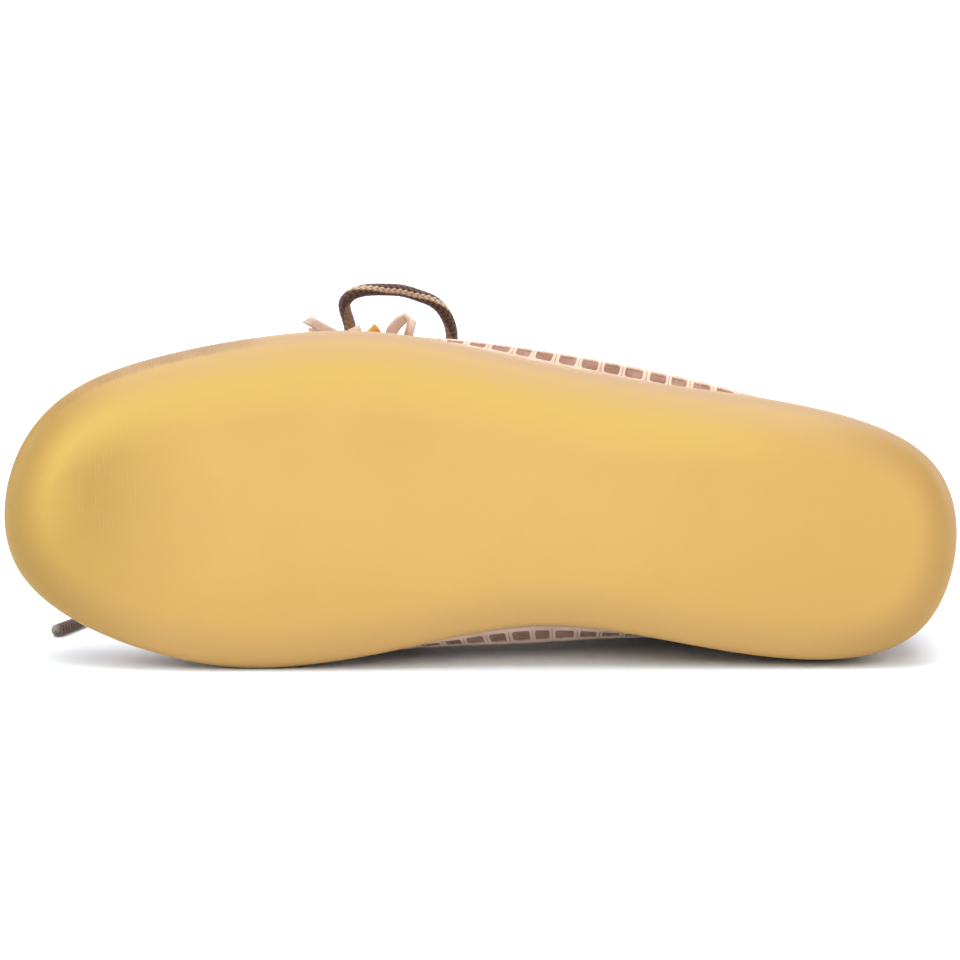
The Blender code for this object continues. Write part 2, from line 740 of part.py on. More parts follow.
def make_cord(name, route, count, collection):
    """A round cord along a route, as a tube with filled ends."""
    curve = bpy.data.curves.new(name, "CURVE")
    curve.dimensions = "3D"
    curve.bevel_depth = LACE_DIAMETER / 2.0
    curve.bevel_resolution = 2
    curve.use_fill_caps = True
    spline = curve.splines.new("POLY")
    points = smooth_route(route, count)
    spline.points.add(len(points) - 1)
    for place, point in zip(spline.points, points):
        place.co = (*point, 1.0)
    cord = bpy.data.objects.new(name, curve)
    material = bpy.data.materials.get(LACE_CORD.name)
    curve.materials.append(material)
    collection.objects.link(cord)
    return cord


def make_knot(collection):
    """The bow's knot: a low rounded lump on the kiltie."""
    bm = bmesh.new()
    bmesh.ops.create_uvsphere(bm, u_segments=KNOT_SEGMENTS, v_segments=KNOT_RINGS, radius=0.5)
    bmesh.ops.scale(bm, vec=(KNOT_LENGTH, KNOT_WIDTH, KNOT_HEIGHT), verts=bm.verts)
    bmesh.ops.translate(bm, vec=KNOT_PLACE, verts=bm.verts)
    return new_object("lace_knot", to_mesh("lace_knot", bm), LACE_CORD, collection)


def lay_down(parts, grounded, floor_point, floor_normal):
    """Lays the shoe on its medial side, on z = 0, with the toe towards -X and the sole towards -Y."""
    stand = bpy.data.objects.new("stand", None)
    bpy.context.scene.collection.objects.link(stand)
    up = floor_normal
    along = Vector((1.0, 0.0, 0.0))
    along = (along - up * along.dot(up)).normalized()
    turn = Matrix((along, up.cross(along), up))
    points = np.vstack([solid_of(obj)[0] for obj in grounded])
    turned = points @ np.array(turn).T
    middle = (turned.min(axis=0) + turned.max(axis=0)) / 2.0
    stand.matrix_world = turn.to_4x4()
    stand.location = (-middle[0], -middle[1], -turn.row[2].dot(floor_point))
    for part in parts:
        part.parent = stand


def main():
    for old in list(bpy.data.objects):
        bpy.data.objects.remove(old, do_unlink=True)
    collection = bpy.data.collections.new("slip_on_moccasin")
    bpy.context.scene.collection.children.link(collection)
    outsole = make_outsole(collection)
    insole = make_insole(collection)
    upper = make_upper(collection)
    floor = resting_plane((outsole, insole, upper), (outsole, upper))
    drape = Drape(*floor)
    under = make_kiltie("kiltie_under", drape, MUSTARD_SUEDE, 0, UNDER_STRIP_LENGTH, collection)
    top = make_kiltie("kiltie_top", drape, NUDE_SUEDE, 1, TOP_STRIP_LENGTH, collection)
    knot = make_knot(collection)
    cords = [
        make_cord("lace_bar_medial", BAR_MEDIAL, CORD_POINTS // 3, collection),
        make_cord("lace_bar_lateral", BAR_LATERAL, CORD_POINTS // 3, collection),
        make_cord("lace_loop_lateral", LOOP_LATERAL, CORD_POINTS, collection),
        make_cord("lace_loop_medial", LOOP_MEDIAL, CORD_POINTS, collection),
        make_cord("lace_end_medial", END_MEDIAL, CORD_POINTS, collection),
        make_cord("lace_end_lateral", END_LATERAL, CORD_POINTS, collection),
    ]
    solid = [outsole, insole, upper, under, top]
    lay_down([*solid, knot, *cords], solid, *floor)


main()
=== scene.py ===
"""Looks of a left slip-on moccasin that lies on its medial side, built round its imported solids.

Shapes are worked out in the shoe's own axes, as in its solids: the toe tip is at x = 0 and the heel
at x = LAST.length, +Y is the medial side and +Z is up from the ground. Stand then lays them down.
Columns are numbered from the toe tip along the medial side to the heel and back to the toe.
"""

import json
import logging
import math
from dataclasses import dataclass
from enum import Enum
from typing import Callable, NamedTuple, Sequence, Union

import bmesh
import bpy
import numpy as np
from mathutils import Matrix, Vector
from mathutils.bvhtree import BVHTree


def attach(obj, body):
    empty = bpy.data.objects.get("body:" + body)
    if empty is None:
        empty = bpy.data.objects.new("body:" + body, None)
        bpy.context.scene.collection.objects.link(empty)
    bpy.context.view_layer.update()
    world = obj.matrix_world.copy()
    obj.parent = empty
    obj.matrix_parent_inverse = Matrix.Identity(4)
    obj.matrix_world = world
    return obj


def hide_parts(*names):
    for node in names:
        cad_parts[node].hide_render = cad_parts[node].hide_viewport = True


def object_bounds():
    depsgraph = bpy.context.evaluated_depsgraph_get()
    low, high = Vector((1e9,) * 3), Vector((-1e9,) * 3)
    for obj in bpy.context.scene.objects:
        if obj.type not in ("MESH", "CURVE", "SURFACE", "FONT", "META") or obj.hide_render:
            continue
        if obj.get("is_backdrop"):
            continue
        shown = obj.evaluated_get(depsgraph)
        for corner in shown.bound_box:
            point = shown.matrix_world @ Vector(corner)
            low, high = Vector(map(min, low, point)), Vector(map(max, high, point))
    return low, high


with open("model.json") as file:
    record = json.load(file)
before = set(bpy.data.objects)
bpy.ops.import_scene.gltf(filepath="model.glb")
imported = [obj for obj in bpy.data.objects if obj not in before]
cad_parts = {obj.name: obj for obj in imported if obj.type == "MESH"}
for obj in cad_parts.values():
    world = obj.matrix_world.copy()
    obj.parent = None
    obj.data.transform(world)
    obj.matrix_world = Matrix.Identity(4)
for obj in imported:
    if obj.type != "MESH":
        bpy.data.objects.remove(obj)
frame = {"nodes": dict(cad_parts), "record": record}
CAD_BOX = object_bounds()

LOG = logging.getLogger("moccasin")
MM = 0.001

Array = np.ndarray
Colour = tuple[float, float, float, float]
Value = Union["Wire", float, Colour]


class Side(Enum):
    """The shoe's two sides, with the sign of Y on each."""

    MEDIAL = 1.0
    LATERAL = -1.0


class Rim(NamedTuple):
    """The sole's widest line, seen from above, as shares of the shoe's length and ball width."""

    name: str
    medial_along: float
    medial_across: float
    lateral_along: float
    lateral_across: float


class Top(NamedTuple):
    """The wall's top edge. The height is a share of the back's height, above the sole."""

    name: str
    medial_along: float
    medial_across: float
    lateral_along: float
    lateral_across: float
    height: float


class Bend(NamedTuple):
    """How a column of the wall bends: shares of the ball width, and of the back's height."""

    name: str
    inset: float
    rise: float
    medial_flare: float
    lateral_flare: float
    tuck_out: float
    tuck_down: float


RIM = (
    Rim("toe", 0.000, -0.057, 0.000, -0.057),
    Rim("toe corner", 0.017, 0.122, 0.016, -0.245),
    Rim("toes", 0.085, 0.279, 0.070, -0.418),
    Rim("tread", 0.165, 0.364, 0.150, -0.513),
    Rim("ball", 0.285, 0.404, 0.300, -0.592),
    Rim("throat", 0.420, 0.348, 0.420, -0.589),
    Rim("waist", 0.553, 0.279, 0.560, -0.510),
    Rim("instep", 0.690, 0.320, 0.700, -0.439),
    Rim("heel breast", 0.865, 0.380, 0.850, -0.371),
    Rim("heel corner", 0.972, 0.260, 0.969, -0.225),
    Rim("heel", 1.000, 0.003, 1.000, 0.003),
)
TOP = (
    Top("toe", 0.112, -0.085, 0.112, -0.085, 0.42),
    Top("toe corner", 0.124, 0.020, 0.120, -0.190, 0.43),
    Top("toes", 0.162, 0.098, 0.156, -0.283, 0.46),
    Top("tread", 0.228, 0.152, 0.222, -0.350, 0.52),
    Top("ball", 0.325, 0.182, 0.328, -0.388, 0.61),
    Top("throat", 0.440, 0.184, 0.444, -0.382, 0.72),
    Top("waist", 0.560, 0.212, 0.566, -0.340, 0.74),
    Top("instep", 0.690, 0.262, 0.698, -0.312, 0.76),
    Top("heel breast", 0.835, 0.266, 0.835, -0.262, 0.86),
    Top("heel corner", 0.925, 0.170, 0.925, -0.150, 0.97),
    Top("heel", 0.955, 0.004, 0.955, 0.004, 1.00),
)
BEND = (
    Bend("toe", 0.048, 0.34, 0.015, 0.015, 0.150, 0.03),
    Bend("toe corner", 0.048, 0.33, 0.015, 0.015, 0.145, 0.04),
    Bend("toes", 0.046, 0.32, 0.018, 0.018, 0.135, 0.06),
    Bend("tread", 0.042, 0.31, 0.020, 0.022, 0.125, 0.09),
    Bend("ball", 0.036, 0.28, 0.030, 0.034, 0.110, 0.16),
    Bend("throat", 0.022, 0.18, 0.066, 0.066, 0.085, 0.30),
    Bend("waist", 0.014, 0.12, 0.144, 0.138, 0.060, 0.44),
    Bend("instep", 0.020, 0.16, 0.034, 0.140, 0.040, 0.42),
    Bend("heel breast", 0.036, 0.28, 0.034, 0.062, 0.030, 0.36),
    Bend("heel corner", 0.040, 0.34, 0.024, 0.024, 0.026, 0.33),
    Bend("heel", 0.040, 0.35, 0.024, 0.024, 0.024, 0.33),
)


def tint(red: float, green: float, blue: float) -> Colour:
    """A colour named by its screen values from 0 to 255, as a shader takes it."""
    parts = [value / 255.0 for value in (red, green, blue)]
    lit = [p / 12.92 if p <= 0.04045 else ((p + 0.055) / 1.055) ** 2.4 for p in parts]
    return (lit[0], lit[1], lit[2], 1.0)


def smoothstep(share: Array) -> Array:
    """0 below 0, 1 above 1 and a smooth rise between."""
    share = np.clip(share, 0.0, 1.0)
    return share * share * (3.0 - 2.0 * share)


def unit(rows: Array) -> Array:
    """The vectors in the last axis, each made one long."""
    return rows / np.linalg.norm(rows, axis=-1, keepdims=True)


def travelled(points: Array) -> Array:
    """The distance from the first row along a line, or up each column of a grid."""
    steps = np.linalg.norm(np.diff(points, axis=0), axis=-1)
    return np.concatenate([steps[:1] * 0.0, np.cumsum(steps, axis=0)])


def sided(rows: Sequence[NamedTuple], names: Sequence[str], scale: Sequence[float]) -> list[Array]:
    """A table's columns times a scale, on each side.

    Args:
        rows: the table.
        names: the columns, with {} where the side's name goes.
        scale: the length of which each column is a share.

    Returns:
        The medial side's values and the lateral side's.
    """
    return [
        np.array([[getattr(row, name.format(side)) for name in names] for row in rows]) * scale
        for side in ("medial", "lateral")
    ]


def sleeve_chart(sides: int, rows: int, pitch: float) -> Array:
    """The chart of a tube: turns round it, and steps of a pitch along it."""
    return np.stack(np.meshgrid(np.arange(sides + 1) / sides, np.arange(rows) * pitch), axis=2)


def smooth_route(points: Sequence[Sequence[float]], step: float) -> Array:
    """Even points on the smooth curve through a route's own points.

    Args:
        points: the route's own points.
        step: about how far apart the new points lie.

    Returns:
        The new points, as rows.
    """
    fineness = 24
    knots = np.asarray(points, float)
    ends = np.vstack([knots[:1], knots, knots[-1:]])
    turns = (ends[2:] - ends[:-2]) / 2.0
    t = np.linspace(0.0, 1.0, fineness, endpoint=False)[:, None]
    near, leave = 2 * t**3 - 3 * t**2 + 1, t**3 - 2 * t**2 + t
    far, arrive = 3 * t**2 - 2 * t**3, t**3 - t**2
    parts = [
        near * a + leave * turn_a + far * b + arrive * turn_b
        for a, b, turn_a, turn_b in zip(knots, knots[1:], turns, turns[1:])
    ]
    fine = np.vstack([*parts, knots[-1:]])
    along = travelled(fine)
    even = np.linspace(0.0, along[-1], max(int(round(along[-1] / step)), 2) + 1)
    return np.column_stack([np.interp(even, along, fine[:, k]) for k in range(3)])


class Wire:
    """A socket's value in a shader, with Python's operators as Math nodes."""

    def __init__(self, shader: "Shader", socket: bpy.types.NodeSocket) -> None:
        """Holds a socket of the shader."""
        self.shader = shader
        self.socket = socket

    def math(self, operation: str, *others: Value) -> "Wire":
        """A Math node on this value and the others."""
        sockets = dict(enumerate((self, *others)))
        return self.shader.node("ShaderNodeMath", {"operation": operation}, sockets)

    def __add__(self, other: Value) -> "Wire":
        """The sum."""
        return self.math("ADD", other)

    __radd__ = __add__

    def __mul__(self, other: Value) -> "Wire":
        """The product."""
        return self.math("MULTIPLY", other)

    __rmul__ = __mul__

    def __sub__(self, other: Value) -> "Wire":
        """The difference."""
        return self.math("SUBTRACT", other)

    def __rsub__(self, other: Value) -> "Wire":
        """The difference the other way round."""
        return (self * -1.0) + other

    def __truediv__(self, other: Value) -> "Wire":
        """The quotient."""
        return self.math("DIVIDE", other)

    def fold(self) -> "Wire":
        """The distance to the nearest whole number."""
        return self.math("PINGPONG", 0.5)

    def rise(self, low: float, high: float) -> "Wire":
        """0 below low, 1 above high and a smooth rise between. It falls where high is below low."""
        if high < low:
            return 1.0 - self.rise(high, low)
        sockets = {"Value": self, "From Min": low, "From Max": high}
        return self.shader.node("ShaderNodeMapRange", {"interpolation_type": "SMOOTHSTEP"}, sockets)


class Shader:
    """A material under construction: one Principled surface and the nodes that feed it."""

    def __init__(self, name: str, numbers: dict[str, Value]) -> None:
        """Makes a material.

        Args:
            name: its name.
            numbers: the surface's values that are the same all over, by socket.
        """
        self.material = bpy.data.materials.new(name)
        self.material.use_nodes = True
        self.tree = self.material.node_tree
        self.surface = self.tree.nodes["Principled BSDF"]
        for socket, value in numbers.items():
            self.surface.inputs[socket].default_value = value

    def node(self, kind: str, settings: dict, sockets: dict, output: Union[int, str] = 0) -> Wire:
        """Adds a node.

        Args:
            kind: the node's type.
            settings: its own settings, which are set first.
            sockets: values or wires for its inputs, by name or number.
            output: which output the wire holds.

        Returns:
            The node's output.
        """
        made = self.tree.nodes.new(kind)
        for name, value in settings.items():
            setattr(made, name, value)
        for name, value in sockets.items():
            if isinstance(value, Wire):
                self.tree.links.new(value.socket, made.inputs[name])
            else:
                made.inputs[name].default_value = value
        return Wire(self, made.outputs[output])

    def mix(self, share: Value, low: Value, high: Value) -> Wire:
        """A colour between two colours."""
        return self.node("ShaderNodeMix", {"data_type": "RGBA"}, {0: share, 6: low, 7: high}, 2)

    def chart(self, name: str) -> tuple[Wire, Wire]:
        """The two coordinates of a mesh's chart."""
        chart = self.node("ShaderNodeUVMap", {"uv_map": name}, {})
        return self.part(chart, 0), self.part(chart, 1)

    def part(self, vector: Wire, which: int) -> Wire:
        """One part of a vector."""
        return self.node("ShaderNodeSeparateXYZ", {}, {0: vector}, which)

    def places(self) -> Wire:
        """Where a point is in the piece's own axes."""
        return self.node("ShaderNodeTexCoord", {}, {}, "Object")

    def noise(self, at: Wire, size: float, detail: float = 2.0, rough: float = 0.5) -> Wire:
        """Cloudy noise round 0.5 whose spots are about as large as size."""
        sockets = {"Vector": at, "Scale": 1.0 / size, "Detail": detail, "Roughness": rough}
        return self.node("ShaderNodeTexNoise", {}, sockets)

    def cells(self, at: Wire, size: float) -> Wire:
        """The distance from the middle of a cell, of grain whose cells are about as large as size."""
        return self.node("ShaderNodeTexVoronoi", {}, {"Vector": at, "Scale": 1.0 / size})

    def stretch(self, at: Wire, scale: tuple[float, float, float]) -> Wire:
        """The vector with its parts scaled."""
        return self.node("ShaderNodeVectorMath", {"operation": "MULTIPLY"}, {0: at, 1: scale})

    def bump(self, height: Wire, distance: float) -> None:
        """Lets a height, in shares of the distance, tilt the surface's normal."""
        made = self.node("ShaderNodeBump", {}, {"Height": height, "Distance": distance}, "Normal")
        self.feed("Normal", made)

    def feed(self, socket: str, wire: Wire) -> None:
        """Links a wire to the surface."""
        self.tree.links.new(wire.socket, self.surface.inputs[socket])


@dataclass(frozen=True)
class Suede:
    """Brushed suede: a soft nap whose tone shifts where it was stroked, and a sheen at its edges."""

    name: str
    base: Colour
    shade: Colour
    light: Colour
    roughness: float = 0.92
    nap: float = 0.35 * MM

    def material(self) -> bpy.types.Material:
        """Builds the material."""
        numbers = {"Sheen Weight": 0.25, "Sheen Roughness": 0.5, "Sheen Tint": self.light}
        shader = Shader(self.name, {**numbers, "Specular IOR Level": 0.2})
        at = shader.places()
        nap, stroked = shader.noise(at, self.nap, 4.0, 0.65), shader.noise(at, 9.0 * MM, 2.0)
        colour = shader.mix(stroked.rise(0.15, 0.85), self.shade, self.base)
        colour = shader.mix(nap.rise(0.45, 0.75) * 0.5, colour, self.light)
        shader.feed("Base Color", colour)
        shader.feed("Roughness", nap * 0.12 + (self.roughness - 0.06))
        shader.bump(nap + shader.noise(at, 2.2 * MM) * 0.5, 0.12 * MM)
        return shader.material


@dataclass(frozen=True)
class LiningLeather:
    """Smooth lining leather with a fine grain."""

    name: str = "lining_leather"
    base: Colour = tint(216, 186, 150)
    worn: Colour = tint(188, 152, 116)

    def material(self) -> bpy.types.Material:
        """Builds the material."""
        shader = Shader(self.name, {"Specular IOR Level": 0.4})
        at = shader.places()
        grain, cloud = shader.cells(at, 0.7 * MM), shader.noise(at, 16.0 * MM, 3.0)
        colour = shader.mix(cloud.rise(0.1, 0.9), self.worn, self.base)
        shader.feed("Base Color", shader.mix(grain.rise(0.5, 0.9) * 0.25, colour, self.worn))
        shader.feed("Roughness", cloud * 0.2 + 0.45)
        shader.bump(grain * -1.0 + cloud, 0.08 * MM)
        return shader.material


@dataclass(frozen=True)
class Thread:
    """Waxed sewing thread, twisted, with painted shade in the twist's grooves."""

    name: str = "seam_thread"
    base: Colour = tint(226, 200, 178)
    # darker copy of the thread's colour: painted shade in the twist's grooves
    groove_shade: Colour = tint(150, 118, 96)

    def material(self) -> bpy.types.Material:
        """Builds the material."""
        shader = Shader(self.name, {"Roughness": 0.55})
        around, along = shader.chart("thread")
        twist = (around + along * 2.0).fold()
        # painted shade: the twist's grooves are darkened
        shader.feed("Base Color", shader.mix(twist.rise(0.0, 0.25), self.groove_shade, self.base))
        shader.bump(twist.rise(0.0, 0.3), 0.12 * MM)
        return shader.material


@dataclass(frozen=True)
class WovenSuede:
    """The wall's lattice: pale double strands over taupe suede, with a stitched line down each bar, and
    painted shade along its foot by the sole.
    """

    name: str = "woven_suede"
    strand: Colour = tint(228, 202, 184)
    strand_shade: Colour = tint(208, 176, 158)
    window: Colour = tint(156, 120, 104)
    window_shade: Colour = tint(128, 92, 78)
    # darker tone of the wall's foot by the sole: painted shade
    foot: Colour = tint(196, 162, 140)
    hole: Colour = tint(120, 84, 70)
    bar_half: float = 0.135
    rail_half: float = 0.145
    corner: float = 5.0
    rows: float = 5.5

    def material(self) -> bpy.types.Material:
        """Builds the material."""
        sheen = {"Sheen Weight": 0.25, "Sheen Roughness": 0.5, "Sheen Tint": tint(240, 215, 200)}
        shader = Shader(self.name, {**sheen, "Specular IOR Level": 0.2})
        along, up = shader.chart("lattice")
        at = shader.places()
        nap, stroked = shader.noise(at, 0.35 * MM, 4.0, 0.65), shader.noise(at, 5.0 * MM, 3.0)
        frayed = (nap - 0.5) * 0.05
        across = ((0.5 - along.fold() + frayed) / (0.5 - self.bar_half)).math("POWER", self.corner)
        upward = ((0.5 - up.fold() + frayed) / (0.5 - self.rail_half)).math("POWER", self.corner)
        rail = up.fold().rise(self.rail_half + 0.02, self.rail_half - 0.015)
        plain = up.rise(0.02, -0.02).math("MAXIMUM", up.rise(self.rows - 0.01, self.rows + 0.01))
        strand = (across + upward).rise(0.75, 1.2).math("MAXIMUM", plain)
        pale = shader.mix(stroked.rise(0.15, 0.85), self.strand_shade, self.strand)
        taupe = shader.mix(stroked.rise(0.3, 0.7), self.window_shade, self.window)
        taupe = shader.mix(nap.rise(0.45, 0.8) * 0.5, taupe, self.strand_shade)
        colour = shader.mix(strand, taupe, pale)
        # painted shade: the foot of the wall, by the sole, is darkened
        colour = shader.mix(up.rise(-0.05, -0.2), colour, self.foot)
        dots = (up * 7.0).fold().rise(0.28, 0.36) * along.fold().rise(0.03, 0.012)
        dots = dots * (1.0 - plain) * (1.0 - rail)
        shader.feed("Base Color", shader.mix(dots, colour, self.hole))
        shader.feed("Roughness", nap * 0.12 + 0.86)
        shader.bump(nap + stroked * 0.6 - dots * 1.5, 0.14 * MM)
        return shader.material


@dataclass(frozen=True)
class GumRubber:
    """Honey gum rubber: cloudy inside, greener at the toe, paler and pinker on its side wall and finely
    ribbed at the toe; its colour also carries painted shade along the rounded edge, on the medial side, over
    the heel and toe and in the rib grooves, and a painted highlight band and a pale pink painted reflection
    along the lateral edge.
    """

    name: str = "gum_rubber"
    honey: Colour = tint(206, 163, 90)
    # greener toe tone, also darkened as painted shade where the sprung toe turns from the light
    green: Colour = tint(172, 136, 62)
    # painted light: a brighter band on the lateral side, where the rounding faces the overhead lamp
    lit_lateral_band: Colour = tint(210, 171, 87)
    # darker tone: painted shade on the medial side, which faces the floor, and over the heel
    medial: Colour = tint(195, 151, 78)
    # painted shade along the rounded edge, where it turns from the light
    edge: Colour = tint(192, 150, 84)
    # deeper painted shade at the toe's edge
    toe_edge_shade: Colour = tint(161, 125, 54)
    # painted shade at the heel's edge
    heel_edge_shade: Colour = tint(172, 132, 70)
    # pale pink painted reflection along the lateral edge
    lateral_edge_reflection: Colour = tint(192, 156, 102)
    # painted shade at the very rim of the lateral side
    lateral_rim_shade: Colour = tint(169, 138, 101)
    wall: Colour = tint(202, 163, 118)
    # painted shade in the grooves of the toe's ribs
    rib: Colour = tint(150, 108, 76)
    dash: Colour = tint(216, 184, 126)
    fleck: Colour = tint(232, 200, 140)
    rib_pitch: float = 0.62 * MM
    dash_pitch: float = 1.1 * MM

    def material(self) -> bpy.types.Material:
        """Builds the material."""
        shader = Shader(self.name, {"IOR": 1.5, "Coat Roughness": 0.35, "Specular IOR Level": 0.35})
        x, y = shader.chart("plan")
        _, inward = shader.chart("edge")
        at = shader.places()
        cloud = shader.noise(at, 34.0 * MM, 2.0)
        fine = shader.noise(at, 1.1 * MM, 3.0)
        toe = x.rise(66.0 * MM, 8.0 * MM)
        lateral = y.rise(18.0 * MM, -30.0 * MM)
        # the toe turns greener (real tint) and darker (painted shade where the sprung toe turns away)
        body = shader.mix(toe * 0.8 + (cloud - 0.5) * 0.5, self.honey, self.green)
        # painted shade: darker towards the medial side, which faces the floor
        body = shader.mix(y.rise(-8.0 * MM, 38.0 * MM) * 0.75, body, self.medial)
        # painted shade: darker towards the heel
        body = shader.mix(x.rise(150.0 * MM, 240.0 * MM) * 0.6, body, self.medial)
        # painted light: a brighter band inside the lateral edge
        ring = inward.rise(26.0 * MM, 10.0 * MM) * x.rise(236.0 * MM, 180.0 * MM)
        body = shader.mix(ring * lateral, body, self.lit_lateral_band)
        # painted shade along the edge, deepest at the toe
        edge = shader.mix(x.rise(50.0 * MM, 6.0 * MM), self.edge, self.toe_edge_shade)
        # painted reflection: pale pink along the lateral edge
        edge = shader.mix(lateral * x.rise(10.0 * MM, 44.0 * MM), edge, self.lateral_edge_reflection)
        # painted shade at the heel's edge
        edge = shader.mix(x.rise(215.0 * MM, 252.0 * MM), edge, self.heel_edge_shade)
        # lays the edge's painted shade and reflection over its last 13 mm
        body = shader.mix(inward.rise(13.0 * MM, 2.0 * MM), body, edge)
        body = shader.mix(inward.rise(0.5 * MM, -2.0 * MM), body, self.wall)
        # painted shade over the lateral rim's outermost 4 mm
        rim = inward.rise(4.0 * MM, 0.5 * MM) * lateral * x.rise(10.0 * MM, 44.0 * MM)
        body = shader.mix(rim, body, self.lateral_rim_shade)
        front = x.rise(74.0 * MM, 60.0 * MM) * x.rise(8.0 * MM, 20.0 * MM)
        strip = inward.rise(3.2 * MM, 2.0 * MM) * inward.rise(-5.5 * MM, -4.5 * MM)
        worn = shader.noise(at, 7.0 * MM, 1.0).rise(0.25, 0.7) * 0.6 + 0.4
        ribs = (x / self.rib_pitch).fold().rise(0.14, 0.36) * front * strip * lateral * worn
        patch = x.rise(18.0 * MM, 24.0 * MM) * x.rise(42.0 * MM, 34.0 * MM)
        patch = patch * y.rise(-34.0 * MM, -26.0 * MM) * y.rise(4.0 * MM, -6.0 * MM)
        broken = shader.noise(shader.stretch(at, (1.0, 1.0, 0.25)), 1.6 * MM, 1.0).rise(0.5, 0.6)
        dashes = (x / self.dash_pitch).fold().rise(0.3, 0.45) * broken * patch
        # painted shade in the rib grooves
        body = shader.mix(ribs * 0.34, body, self.rib)
        body = shader.mix(dashes * 0.14, body, self.dash)
        shader.feed("Base Color", shader.mix(fine.rise(0.6, 0.8) * 0.06, body, self.fleck))
        shader.feed("Roughness", cloud * 0.12 + fine * 0.08 + 0.36)
        shader.bump(fine * 0.12 + cloud * 0.3 - ribs * 0.9 + dashes * 0.3, 0.25 * MM)
        return shader.material


@dataclass(frozen=True)
class BraidedCord:
    """The lace's round braid: dark brown, with a beige zigzag along one side and olive on the other, and
    painted shade in the grooves between its plaits.
    """

    name: str = "lace_cord"
    dark: Colour = tint(70, 38, 24)
    brown: Colour = tint(114, 77, 56)
    # darkest brown: painted shade in the grooves between plaits
    groove_shade: Colour = tint(38, 21, 13)
    beige: Colour = tint(198, 167, 140)
    olive: Colour = tint(140, 108, 80)
    wales: int = 14

    def material(self) -> bpy.types.Material:
        """Builds the material."""
        shader = Shader(self.name, {"Specular IOR Level": 0.35, "Sheen Weight": 0.15})
        around, along = shader.chart("braid")
        lean = (around * (self.wales / 2.0)).fold()
        plait = (along + lean).fold()
        zigzag = (along.fold() - 0.25) * 0.09
        beige = (around - 0.5 + zigzag).fold().rise(0.074, 0.056)
        olive = (around - 0.09 + zigzag).fold().rise(0.16, 0.14)
        colour = shader.mix(plait.rise(0.2, 0.5) * 0.6, self.dark, self.brown)
        colour = shader.mix(olive, colour, self.olive)
        colour = shader.mix(beige, colour, self.beige)
        # painted shade: the grooves between plaits are darkened
        shader.feed("Base Color", shader.mix(plait.rise(0.14, 0.0) * 0.75, colour, self.groove_shade))
        shader.feed("Roughness", plait * 0.3 + 0.55)
        ridges = (around * float(self.wales)).fold().rise(0.0, 0.25)
        shader.bump(plait.rise(0.0, 0.3) + ridges * 0.5, 0.22 * MM)
        return shader.material


class Draft:
    """The points, faces and charts of a piece, gathered before its mesh is made."""

    WELD = 0.002 * MM

    def __init__(self, *charts: str) -> None:
        """Starts an empty draft with named charts."""
        self.charts = charts
        self.points: list[Array] = []
        self.faces: list[Array] = []
        self.corners: list[Array] = []
        self.finishes: list[Array] = []
        self.count = 0

    def grid(
        self,
        points: Array,
        charts: Sequence[Array],
        closed: bool = False,
        flip: bool = False,
        finish: Union[int, Array] = 0,
    ) -> None:
        """Adds rows of points as quads.

        Args:
            points: rows by columns by 3.
            charts: for each chart, rows by columns by 2, with one more column where closed.
            closed: joins the last column to the first.
            flip: turns the faces over. As it is, they face along column x row.
            finish: the material's number, or one for each row of faces.
        """
        rows, columns = points.shape[:2]
        index = self.count + np.arange(rows * columns).reshape(rows, columns)
        if closed:
            index = np.column_stack([index, index[:, 0]])
        order = ((0, 0), (0, 1), (1, 1), (1, 0)) if not flip else ((0, 0), (1, 0), (1, 1), (0, 1))
        height, width = index.shape[0] - 1, index.shape[1] - 1

        def cut(table: Array) -> Array:
            """The four corners of every face, from a table of the points."""
            return np.stack([table[i : i + height, j : j + width] for i, j in order], axis=2)

        self.points.append(points.reshape(-1, 3))
        self.faces.append(cut(index).reshape(-1, 4))
        stacked = [cut(np.asarray(chart, float)).reshape(-1, 4, 2) for chart in charts]
        self.corners.append(np.stack(stacked, axis=1))
        self.finishes.append(np.repeat(np.broadcast_to(finish, (height,)), width))
        self.count += rows * columns

    def mesh(self, name: str, stand: "Stand", materials: Sequence[bpy.types.Material]) -> bpy.types.Object:
        """Makes the piece, its rows welded where they meet, laid down and riding on the shoe.

        Args:
            name: the piece's name.
            stand: what lays it down.
            materials: its materials, in the order of the finishes' numbers.

        Returns:
            The new object.
        """
        faces = np.vstack(self.faces)
        mesh = bpy.data.meshes.new(name)
        points = stand.lay(np.vstack(self.points))
        mesh.vertices.add(len(points))
        mesh.vertices.foreach_set("co", points.ravel())
        mesh.loops.add(faces.size)
        mesh.loops.foreach_set("vertex_index", faces.ravel().astype(np.int32))
        mesh.polygons.add(len(faces))
        mesh.polygons.foreach_set("loop_start", np.arange(0, faces.size, 4, dtype=np.int32))
        mesh.polygons.foreach_set("loop_total", np.full(len(faces), 4, dtype=np.int32))
        mesh.polygons.foreach_set("material_index", np.concatenate(self.finishes).astype(np.int32))
        corners = np.concatenate(self.corners)
        for i, chart in enumerate(self.charts):
            mesh.uv_layers.new(name=chart).data.foreach_set("uv", corners[:, i].ravel())
        for material in materials:
            mesh.materials.append(material)
        mesh.update(calc_edges=True)
        bm = bmesh.new()
        bm.from_mesh(mesh)
        bmesh.ops.remove_doubles(bm, verts=bm.verts, dist=self.WELD)
        bm.to_mesh(mesh)
        bm.free()
        mesh.shade_smooth()
        obj = bpy.data.objects.new(name, mesh)
        bpy.context.scene.collection.objects.link(obj)
        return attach(obj, "root")


